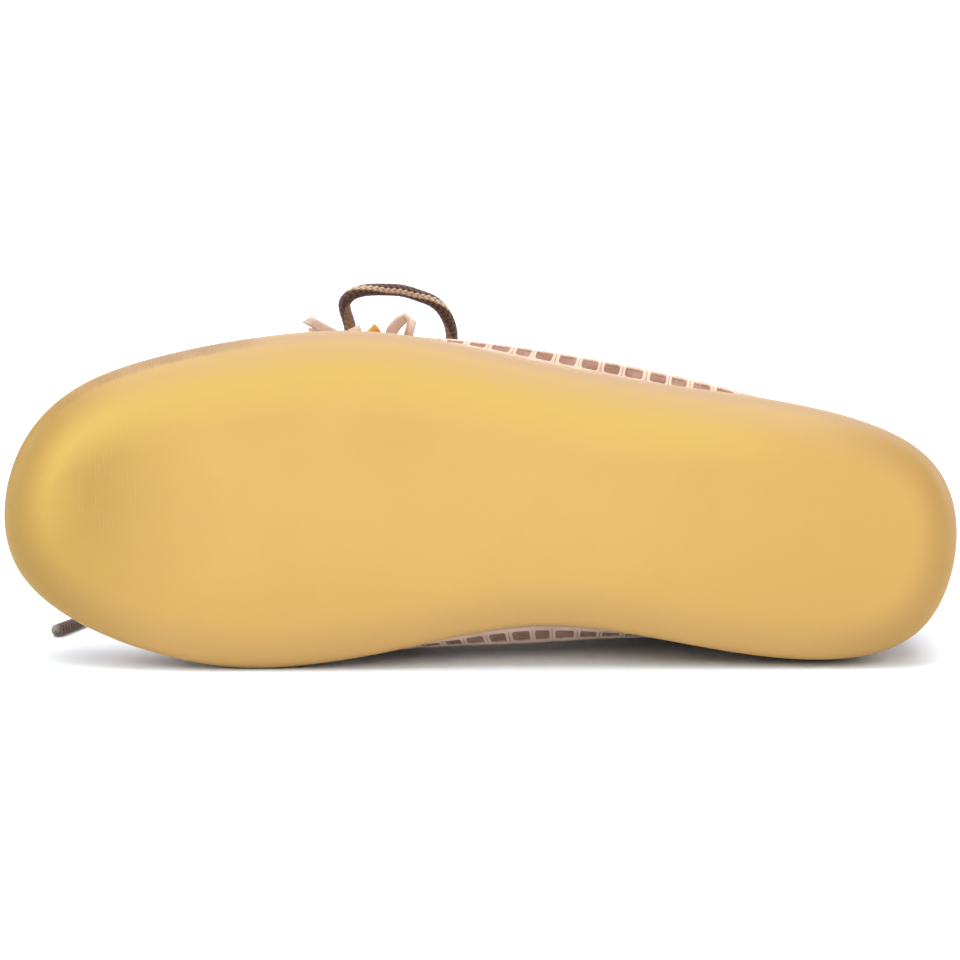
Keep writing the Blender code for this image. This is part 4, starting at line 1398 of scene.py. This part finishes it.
NUDE_SUEDE = Suede("nude_suede", tint(223, 201, 184), tint(211, 187, 171), tint(238, 221, 207))
MUSTARD_SUEDE = Suede("mustard_suede", tint(214, 158, 70), tint(192, 136, 56), tint(236, 190, 104))
CUT_EDGE = Suede("cut_edge", tint(208, 180, 156), tint(192, 162, 138), tint(222, 196, 174))


class Drape:
    """The bare upper and the floor, on which the kiltie's suede lies."""

    def __init__(self, stand: Stand) -> None:
        """Builds the bare surface that the rays meet."""
        last = LAST
        self.stand = stand
        columns = np.arange(0, last.columns * 2) / 2.0
        shares = np.repeat(np.linspace(0.0, 1.0, 22)[:, None], len(columns), axis=1)
        wall, _, _ = last.wall(columns, shares)
        places = np.linspace(0.0, last.throat, 60)
        apron = np.stack([last.apron(places, np.full(60, s)) for s in np.linspace(0.0, 1.0, 33)])
        faces: list[tuple[int, ...]] = []
        base = 0
        for table, closed in ((wall, True), (apron, False)):
            rows, width = table.shape[:2]
            for i in range(rows - 1):
                low, high = base + i * width, base + (i + 1) * width
                for j in range(width if closed else width - 1):
                    k = (j + 1) % width
                    faces.append((low + j, low + k, high + k, high + j))
            base += rows * width
        points = [tuple(p) for p in np.vstack([wall.reshape(-1, 3), apron.reshape(-1, 3)])]
        self.tree = BVHTree.FromPolygons(points, faces)
        self.normal = stand.turn[2]
        away = np.array([0.0, 0.0, 1.0]) - self.normal * self.normal[2]
        self.away = unit(away)
        self.bend = 2.2 * MM

    def height(self, x: float, y: float) -> Union[float, None]:
        """Height of the upper's surface in plan, or None beside it."""
        hit = self.tree.ray_cast(Vector((x, y, 0.3)), Vector((0.0, 0.0, -1.0)))
        return hit[0].z if hit[0] is not None else None

    def strip(self, start: Array, heading: Array, marks: Array, lift: float, droop: float) -> Array:
        """Points along a strip's edge, which follows the upper but droops no steeper than it can.

        Args:
            start: where the strip begins.
            heading: its direction in plan.
            marks: the distances along it at which a point is wanted.
            lift: how far it stays above the upper.
            droop: the steepest slope that it takes.

        Returns:
            The points, as rows.
        """
        points: list[Array] = []
        here, travelled, slope, step = np.array(start, float), 0.0, 0.0, 0.4 * MM
        while len(points) < len(marks):
            run = step / math.sqrt(1.0 + slope * slope)
            there = here + heading * run
            there[2] = here[2] - droop * run
            surface = self.height(there[0], there[1])
            if surface is not None:
                there[2] = max(there[2], surface + lift)
            travelled += float(np.linalg.norm(there - here))
            slope = (there[2] - here[2]) / run
            here = there
            if travelled >= marks[len(points)]:
                points.append(here.copy())
        return np.array(points)

    def settled(self, points: Array, clearance: float) -> Array:
        """The points, turned along the floor by as much as they would have sunk."""
        above = self.stand.lay(points)[..., 2] - clearance
        sunk = np.log1p(np.exp(-above / self.bend)) * self.bend
        return points + (self.normal + self.away) * sunk[..., None]


class Posed(NamedTuple):
    """A strip that is bent out of the row: its layer and number, and its points and widths in millimetres."""

    order: int
    number: int
    points: tuple[tuple[float, float, float], ...]
    across: tuple[tuple[float, float, float], ...]


POSED_STRIPS = (
    Posed(
        1,
        3,
        (
            (94.9, -44.0, 47.2),
            (93.2, -50.2, 44.2),
            (91.2, -54.6, 41.8),
            (87.0, -57.0, 40.2),
            (82.8, -59.2, 39.6),
        ),
        ((-2.8, 0.5, 0.0), (-2.8, 0.5, 0.0), (-2.7, 1.0, 0.2), (-2.6, 1.5, 0.3), (-2.7, 1.6, 0.3)),
    ),
    Posed(
        1,
        4,
        ((90.2, -41.0, 47.6), (87.4, -48.0, 44.4), (85.8, -53.6, 42.6), (84.6, -56.9, 41.8)),
        ((-2.7, 0.9, 0.0), (-2.7, 0.9, 0.0), (-2.8, 0.7, 0.0), (-3.0, 0.4, 0.2)),
    ),
    Posed(
        1,
        2,
        ((99.4, -44.0, 48.0), (98.0, -50.0, 45.2), (96.9, -54.4, 43.2), (95.9, -57.0, 42.2)),
        ((-2.9, 0.2, 0.0), (-2.9, 0.4, 0.0), (-3.0, 0.9, 0.0), (-3.2, 1.4, 0.0)),
    ),
    Posed(
        0,
        2,
        ((103.2, -43.5, 46.4), (103.4, -49.5, 43.8), (102.7, -54.0, 42.0), (100.6, -56.9, 41.2)),
        ((-2.9, 0.0, 0.0), (-2.9, 0.3, 0.0), (-2.6, 1.6, 0.0), (-2.3, 2.2, 0.0)),
    ),
    Posed(
        1,
        1,
        (
            (105.6, -44.0, 48.6),
            (105.9, -50.0, 45.8),
            (106.3, -55.4, 42.6),
            (108.6, -58.6, 40.2),
            (111.2, -60.1, 38.9),
            (112.5, -59.4, 37.6),
            (112.3, -57.4, 37.4),
            (111.5, -54.2, 37.8),
        ),
        (
            (-2.9, -0.1, 0.0),
            (-2.9, -0.1, 0.0),
            (-3.3, -0.6, -0.3),
            (-2.9, -1.3, 0.0),
            (-2.3, -1.6, -0.4),
            (-2.0, -1.2, -1.4),
            (-1.8, -0.7, -2.0),
            (-1.8, -0.4, -2.1),
        ),
    ),
)
CLOSE_STRIPS = ((1, 0), (0, 0), (0, 1), (0, 3))


class Layer(NamedTuple):
    """One layer of the kiltie."""

    piece: str
    node: str
    slot: str
    finish: Suede
    order: int
    strip: float


@dataclass
class Kiltie:
    """A fan of suede over the apron, cut into strips all round, in two layers."""

    stand: Stand
    suede: float = 1.1 * MM
    radius: float = 25.5 * MM
    back: float = 14.0 * MM
    spread: float = math.radians(113.0)
    middle: float = 0.845
    strip_width: float = 2.9 * MM
    strip_gap: float = 1.1 * MM
    lift: float = 1.8 * MM
    layer_pitch: float = 2.0 * MM
    droop: float = 0.47
    close_droop: float = 1.4
    strip_cells: int = 16
    across: int = 4

    def build(self) -> list[bpy.types.Object]:
        """Builds both layers."""
        drape = Drape(self.stand)
        layers = (
            Layer("kiltie_lower", "kiltie_under", "mustard_suede", MUSTARD_SUEDE, 0, 24.6 * MM),
            Layer("kiltie_upper", "kiltie_top", "nude_suede", NUDE_SUEDE, 1, 26.2 * MM),
        )
        return [self.layer(drape, layer) for layer in layers]

    def layer(self, drape: Drape, layer: Layer) -> bpy.types.Object:
        """Builds one layer.

        Args:
            drape: what it lies on.
            layer: its names, finish and place in the stack.

        Returns:
            The layer's piece.
        """
        last, draws = LAST, np.random.default_rng(7 + layer.order)
        lift = self.lift + layer.order * self.layer_pitch
        clearance = 1.2 * MM + layer.order * self.layer_pitch
        middle = last.apron(np.array([last.throat * self.middle]), np.array([0.5]))[0] * (1.0, 1.0, 0.0)
        step = (self.strip_width + self.strip_gap) / self.radius
        count = int(2.0 * self.spread / step) - layer.order % 2
        half = self.strip_width / self.radius / 2.0
        centres = (np.arange(count) - (count - 1) / 2.0) * step
        cells = np.linspace(-half, half, self.across + 1)
        angles = (centres[:, None] + cells).ravel()
        behind = np.linspace(angles[-1], 2.0 * math.pi + angles[0], 14)[1:-1]
        angles = np.concatenate([angles, behind])
        heading = np.column_stack([-np.cos(angles), np.sin(angles), angles * 0.0])
        back = -np.cos(angles)
        reach = np.minimum(self.radius, np.where(back > 0.0, self.back / np.maximum(back, 1e-6), self.radius))
        rings = []
        for share in np.linspace(0.0, 1.0, 9):
            places = middle + heading * (reach * share)[:, None]
            places[:, 2] = [drape.height(x, y) + lift for x, y, _ in places]
            rings.append(drape.settled(places, clearance))
        panel = np.array(rings)
        draft = Draft("plan")
        chart = np.concatenate([panel[..., :2], panel[:, :1, :2]], axis=1)
        draft.grid(panel, [chart], closed=True, flip=True)
        marks = layer.strip * np.arange(1, self.strip_cells + 1) / self.strip_cells
        for i in range(count):
            along = np.array([-math.cos(centres[i]), math.sin(centres[i]), 0.0])
            edges = []
            for offset in (-half, half):
                a = centres[i] + offset
                root = middle + np.array([-math.cos(a), math.sin(a), 0.0]) * self.radius
                root[2] = drape.height(root[0], root[1]) + lift
                droop = self.close_droop if (layer.order, i) in CLOSE_STRIPS else self.droop
                edges.append(np.vstack([root, drape.strip(root, along, marks, lift, droop)]))
            share = np.linspace(0.0, 1.0, self.across + 1)[None, :, None]
            strip = edges[0][:, None] * (1.0 - share) + edges[1][:, None] * share
            bent = np.linspace(0.0, 1.0, self.strip_cells + 1)[:, None]
            aside = edges[1] - edges[0]
            sway = draws.uniform(-0.25, 0.25) * bent**2
            curl = (0.1 + draws.uniform(0.0, 0.2)) * MM * bent * (1.0 - (2.0 * share[0, :, 0] - 1.0) ** 2)
            raised = draws.uniform(0.0, 1.0) * MM * np.sin(bent * math.pi * draws.uniform(0.6, 1.0)) ** 2
            strip = strip + (aside * sway)[:, None]
            strip[..., 2] += curl + raised
            strip = drape.settled(strip, clearance)
            for posed in POSED_STRIPS:
                if (posed.order, posed.number) == (layer.order, i):
                    strip = self.posed(posed, strip)
            strip[0] = panel[-1, i * (self.across + 1) : (i + 1) * (self.across + 1)]
            draft.grid(strip, [strip[..., :2]], flip=True)
        piece = draft.mesh(layer.piece, self.stand, [layer.finish.material(), CUT_EDGE.material()])
        sheet = piece.modifiers.new("suede", "SOLIDIFY")
        sheet.thickness = self.suede
        sheet.offset = 1.0
        sheet.material_offset_rim = 1
        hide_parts(layer.node)
        return piece

    def posed(self, posed: Posed, strip: Array) -> Array:
        """Bends a strip out of the row.

        Args:
            posed: where it goes.
            strip: its points as it lay in the row.

        Returns:
            Its new points, as many as before.
        """
        first, last = strip[0, 0], strip[0, -1]
        places = np.vstack([(first + last) / 2.0, np.array(posed.points) * MM])
        widths = np.vstack([last - first, np.array(posed.across) * MM])
        line = smooth_route(places, 0.2 * MM)
        rows = np.linspace(0, len(line) - 1, len(strip)).astype(int)
        nearest = [int(np.argmin(np.linalg.norm(line - place, axis=1))) for place in places]
        across = np.column_stack([np.interp(rows, nearest, widths[:, k]) for k in range(3)])
        share = np.linspace(-0.5, 0.5, strip.shape[1])[None, :, None]
        return line[rows][:, None] + across[:, None] * share


class Route(NamedTuple):
    """A cord of the lace: its piece, its solid, its end, its points and its stripe's turns on the way."""

    piece: str
    node: str
    far_end: str
    points: tuple[tuple[float, float, float], ...]
    turn: tuple[float, ...]


LOOP_LATERAL = (
    (0.1049, -0.0130, 0.0690),
    (0.1012, -0.0208, 0.0682),
    (0.0979, -0.0310, 0.0646),
    (0.0960, -0.0410, 0.0592),
    (0.0952, -0.0495, 0.0538),
    (0.0947, -0.0570, 0.0495),
    (0.0934, -0.0618, 0.0466),
    (0.0934, -0.0641, 0.0448),
    (0.0954, -0.0662, 0.0436),
    (0.0990, -0.0673, 0.0431),
    (0.1040, -0.0675, 0.0428),
    (0.1092, -0.0672, 0.0428),
    (0.1138, -0.0659, 0.0432),
    (0.1182, -0.0641, 0.0441),
    (0.1211, -0.0612, 0.0458),
    (0.1229, -0.0570, 0.0484),
    (0.1232, -0.0520, 0.0512),
    (0.1226, -0.0440, 0.0560),
    (0.1206, -0.0350, 0.0606),
    (0.1170, -0.0250, 0.0660),
    (0.1126, -0.0152, 0.0694),
)
LOOP_MEDIAL = (
    (0.1058, -0.0036, 0.0692),
    (0.1020, 0.0026, 0.0712),
    (0.0990, 0.0095, 0.0736),
    (0.0968, 0.0160, 0.0766),
    (0.0956, 0.0210, 0.0806),
    (0.0956, 0.0206, 0.0860),
    (0.0972, 0.0194, 0.0924),
    (0.1010, 0.0184, 0.0980),
    (0.1070, 0.0177, 0.1014),
    (0.1136, 0.0177, 0.1012),
    (0.1192, 0.0184, 0.0976),
    (0.1226, 0.0195, 0.0918),
    (0.1232, 0.0206, 0.0856),
    (0.1220, 0.0204, 0.0804),
    (0.1196, 0.0150, 0.0766),
    (0.1170, 0.0086, 0.0736),
    (0.1144, 0.0020, 0.0714),
    (0.1116, -0.0040, 0.0698),
)
END_MEDIAL = (
    (0.1029, -0.0078, 0.0684),
    (0.0966, -0.0034, 0.0698),
    (0.0895, 0.0038, 0.0716),
    (0.0825, 0.0115, 0.0732),
    (0.0760, 0.0180, 0.0750),
    (0.0695, 0.0222, 0.0768),
    (0.0620, 0.0222, 0.0784),
    (0.0540, 0.0220, 0.0796),
    (0.0460, 0.0218, 0.0806),
    (0.0380, 0.0217, 0.0814),
    (0.0305, 0.0218, 0.0812),
    (0.0245, 0.0222, 0.0788),
    (0.0214, 0.0240, 0.0695),
    (0.0185, 0.0256, 0.0609),
    (0.0152, 0.0269, 0.0539),
    (0.0124, 0.0279, 0.0480),
)
END_LATERAL = (
    (0.1034, -0.0114, 0.0698),
    (0.0968, -0.0104, 0.0728),
    (0.0912, -0.0054, 0.0758),
    (0.0865, 0.0016, 0.0792),
    (0.0830, 0.0095, 0.0826),
    (0.0795, 0.0165, 0.0856),
    (0.0745, 0.0202, 0.0880),
    (0.0675, 0.0199, 0.0896),
    (0.0590, 0.0198, 0.0904),
    (0.0505, 0.0197, 0.0908),
    (0.0420, 0.0196, 0.0918),
    (0.0340, 0.0192, 0.0938),
    (0.0265, 0.0186, 0.0970),
    (0.0200, 0.0179, 0.1012),
)
BAR_MEDIAL = (
    (0.1098, -0.0034, 0.0666),
    (0.1110, 0.0040, 0.0652),
    (0.1130, 0.0108, 0.0624),
    (0.1158, 0.0166, 0.0584),
    (0.1190, 0.0204, 0.0539),
    (0.1212, 0.0214, 0.0499),
)
BAR_LATERAL = (
    (0.1100, -0.0142, 0.0666),
    (0.1112, -0.0214, 0.0652),
    (0.1132, -0.0282, 0.0628),
    (0.1160, -0.0340, 0.0588),
    (0.1194, -0.0378, 0.0540),
    (0.1216, -0.0388, 0.0499),
)

LOOP_TURN = (0.64,) * 7 + (0.62, 0.46, 0.22, 0.09, 0.08, 0.19, 0.4, 0.57) + (0.6,) * 6


@dataclass
class Lace:
    """The tied lace: two bars from the eyelets, a bow of two loops, two free ends and the knot."""

    stand: Stand
    diameter: float = 3.4 * MM
    step: float = 0.45 * MM
    sides: int = 28
    plait: float = 1.6 * MM
    tip_length: float = 1.0 * MM
    hole_rim: float = 0.45 * MM
    knot_place: tuple[float, float, float] = (108.8 * MM, -8.8 * MM, 68.2 * MM)

    def skin(self, draft: Draft, line: Array, start: Sequence[float], turn: tuple[float, ...]) -> None:
        """Adds a braided cord along a line.

        Args:
            draft: what the faces go to.
            line: even points along the cord.
            start: the direction that the stripe faces at the cord's beginning.
            turn: how many turns the stripe has made, at even shares of the cord.
        """
        rows = len(line)
        radius = np.full(rows, self.diameter / 2.0)
        radius[[0, -1]] *= 0.02
        radius[[1, -2]] *= 0.85
        skin = tube(line, radius, self.sides, start)
        along = np.arange(rows) * self.step / self.plait
        around = np.arange(self.sides + 1) / self.sides
        turned = np.interp(np.linspace(0.0, 1.0, rows), np.linspace(0.0, 1.0, len(turn)), turn)[:, None]
        wale = 14.0
        lean = np.abs((around * wale / 2.0 + 0.5) % 1.0 - 0.5)
        plait = np.abs((along[:, None] + lean[None, :] + 0.5) % 1.0 - 0.5)
        puff = 1.0 + 0.045 * (smoothstep(plait / 0.22) - 0.6)
        middle = skin.mean(axis=1, keepdims=True)
        skin = self.stand.off_floor(middle + (skin - middle) * puff[:, :-1, None], 0.02 * MM)
        lengths = np.repeat(along[:, None], self.sides + 1, axis=1)
        chart = np.stack([around[None, :] + turned, lengths], axis=2)
        draft.grid(skin, [chart], closed=True)

    def cords(self) -> list[tuple[Route, Array]]:
        """The free cords and their lines."""
        routes = (
            Route("lace_bow_lateral", "lace_loop_lateral", "knot", LOOP_LATERAL, LOOP_TURN),
            Route("lace_bow_medial", "lace_loop_medial", "knot", LOOP_MEDIAL, (0.0, 0.3)),
            Route("lace_tail_medial", "lace_end_medial", "bare", END_MEDIAL, (0.0, 0.2)),
            Route("lace_tail_lateral", "lace_end_lateral", "bare", END_LATERAL, (0.0, 0.5)),
        )
        return [(route, smooth_route(route.points, self.step)) for route in routes]

    def build(self) -> list[bpy.types.Object]:
        material = BraidedCord().material()
        made = [self.knot(material)]
        for route, line in self.cords():
            draft = Draft("braid")
            self.skin(draft, line, (0.0, 0.0, 1.0), route.turn)
            cord = draft.mesh(route.piece, self.stand, [material])
            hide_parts(route.node)
            path = self.stand.lay(line)
            length = float(np.linalg.norm(np.diff(path, axis=0), axis=1).sum())
            pieces = [self.tip(route.piece + "_tip", line)] if route.far_end == "bare" else [made[0]]
            LOG.info("%s is %.0f mm long", route.piece, length / MM)
            made += [cord] + (pieces if route.far_end == "bare" else [])
        for piece, node, points in (
            ("lace_crossing_medial", "lace_bar_medial", BAR_MEDIAL),
            ("lace_crossing_lateral", "lace_bar_lateral", BAR_LATERAL),
        ):
            inward = np.array(points[-1]) - np.array(points[-2])
            ending = np.array(points[-1]) + unit(inward) * 3.0 * MM
            draft = Draft("braid")
            self.skin(draft, smooth_route([*points, tuple(ending)], self.step), (0.0, 0.0, 1.0), (0.4, 0.6))
            bar = draft.mesh(piece, self.stand, [material])
            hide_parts(node)
            made.append(bar)
            made.append(self.hole(piece + "_hole", np.array(points[-1]), unit(inward)))
        return made

    def hole(self, name: str, place: Array, inward: Array) -> bpy.types.Object:
        """Turns the rim of the punched hole where a bar enters the wall.

        Args:
            name: the rim's name.
            place: where the bar ends.
            inward: the bar's direction there.

        Returns:
            The rim.
        """
        side = unit(np.cross(inward, (0.0, 0.0, 1.0)))
        other = np.cross(inward, side)
        turns = np.linspace(0.0, 2.0 * math.pi, 41)[:, None]
        ring = place + (np.cos(turns) * side + np.sin(turns) * other) * (self.diameter / 2.0 + self.hole_rim)
        skin = tube(ring, np.full(41, self.hole_rim), 10, inward)
        draft = Draft("thread")
        draft.grid(skin, [sleeve_chart(10, 41, 0.4)], closed=True)
        # second colour: painted shade in the rim's twist grooves
        finish = Thread("hole_rim", tint(176, 134, 108), tint(132, 96, 76))
        rim = draft.mesh(name, self.stand, [finish.material()])
        return rim

    def tip(self, name: str, line: Array) -> bpy.types.Object:
        """Seals a free end with a short tight sleeve."""
        draft = Draft("thread")
        count = int(self.tip_length / self.step) + 3
        end = line[-count:] + (line[-1] - line[-2]) * 0.5
        radius = np.full(count, self.diameter * 0.49)
        radius[[0, -1]] = 0.1 * MM
        skin = tube(end, radius, self.sides, (0.0, -0.7, -0.7))
        draft.grid(skin, [sleeve_chart(self.sides, count, 0.2)], closed=True)
        # second colour: painted shade in the sleeve's twist grooves
        finish = Thread(name + "_wax", tint(132, 122, 114), tint(92, 80, 72))
        tip = draft.mesh(name, self.stand, [finish.material()])
        return tip

    def knot(self, material: bpy.types.Material) -> bpy.types.Object:
        """Ties the knot: two strands that cross and one that wraps them."""
        place = np.array(self.knot_place)
        draft = Draft("braid")
        strands = (
            ((-3.6, -4.2, 0.8), (-1.6, -2.0, 1.5), (1.2, 1.0, 1.5), (3.8, 4.6, 1.2)),
            ((2.8, -5.4, 1.0), (1.6, -2.4, -0.2), (-1.0, 1.6, 0.0), (-3.6, 4.6, 1.0)),
            ((-4.6, -2.2, 1.2), (-1.4, -0.6, -1.2), (1.6, 0.8, -1.4), (4.0, 5.4, -1.2)),
            ((0.6, -5.6, -1.0), (0.4, -2.4, -1.6), (0.0, 0.8, -1.8), (-4.4, 1.2, 0.2)),
        )
        for i, strand in enumerate(strands):
            line = smooth_route(place + np.array(strand) * MM, self.step)
            self.skin(draft, line, (0.2, -0.4, 1.0), (0.15 * i, 0.15 * i))
        turns = np.linspace(0.0, 2.0 * math.pi, 60)
        across, over = np.cos(turns), np.sin(turns)
        wrap = np.column_stack([across * 3.3 * MM + 0.4 * MM, over * 0.9 * MM, over * 3.1 * MM])
        self.skin(draft, smooth_route(place + wrap, self.step), (0.0, 1.0, 0.0), (0.25, 0.25))
        points = draft.points
        draft.points = [self.stand.off_floor(rows, 0.1 * MM) for rows in points]
        knot = draft.mesh("lace_knot_tied", self.stand, [material])
        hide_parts("lace_knot")
        return knot


def dress_insole() -> None:
    """Gives the insole its leather."""
    insole = frame["nodes"]["insole"]
    leather = LiningLeather("insole_leather", tint(206, 172, 134), tint(176, 140, 104)).material()
    insole.data.materials.clear()
    insole.data.materials.append(leather)


def corners(box: tuple[Vector, Vector]) -> list[list[float]]:
    """A box's two corners as plain lists."""
    return [[float(value) for value in corner] for corner in box]


def main() -> None:
    """Builds the shoe's looks piece by piece."""
    logging.basicConfig(level=logging.INFO, format="%(message)s")
    stand = Stand()
    studio = Studio(stand)
    studio.camera()
    for builder in (Lace(stand), Outsole(stand), WovenUpper(stand), Kiltie(stand)):
        built = builder.build()
        for piece in built if isinstance(built, list) else [built]:
            LOG.info("%s has %d faces", piece.name, len(piece.data.polygons))
    dress_insole()
    studio.floor()
    studio.light()
    {"cad": corners(CAD_BOX), "visual": corners(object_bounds())}


if __name__ == "__main__":
    main()
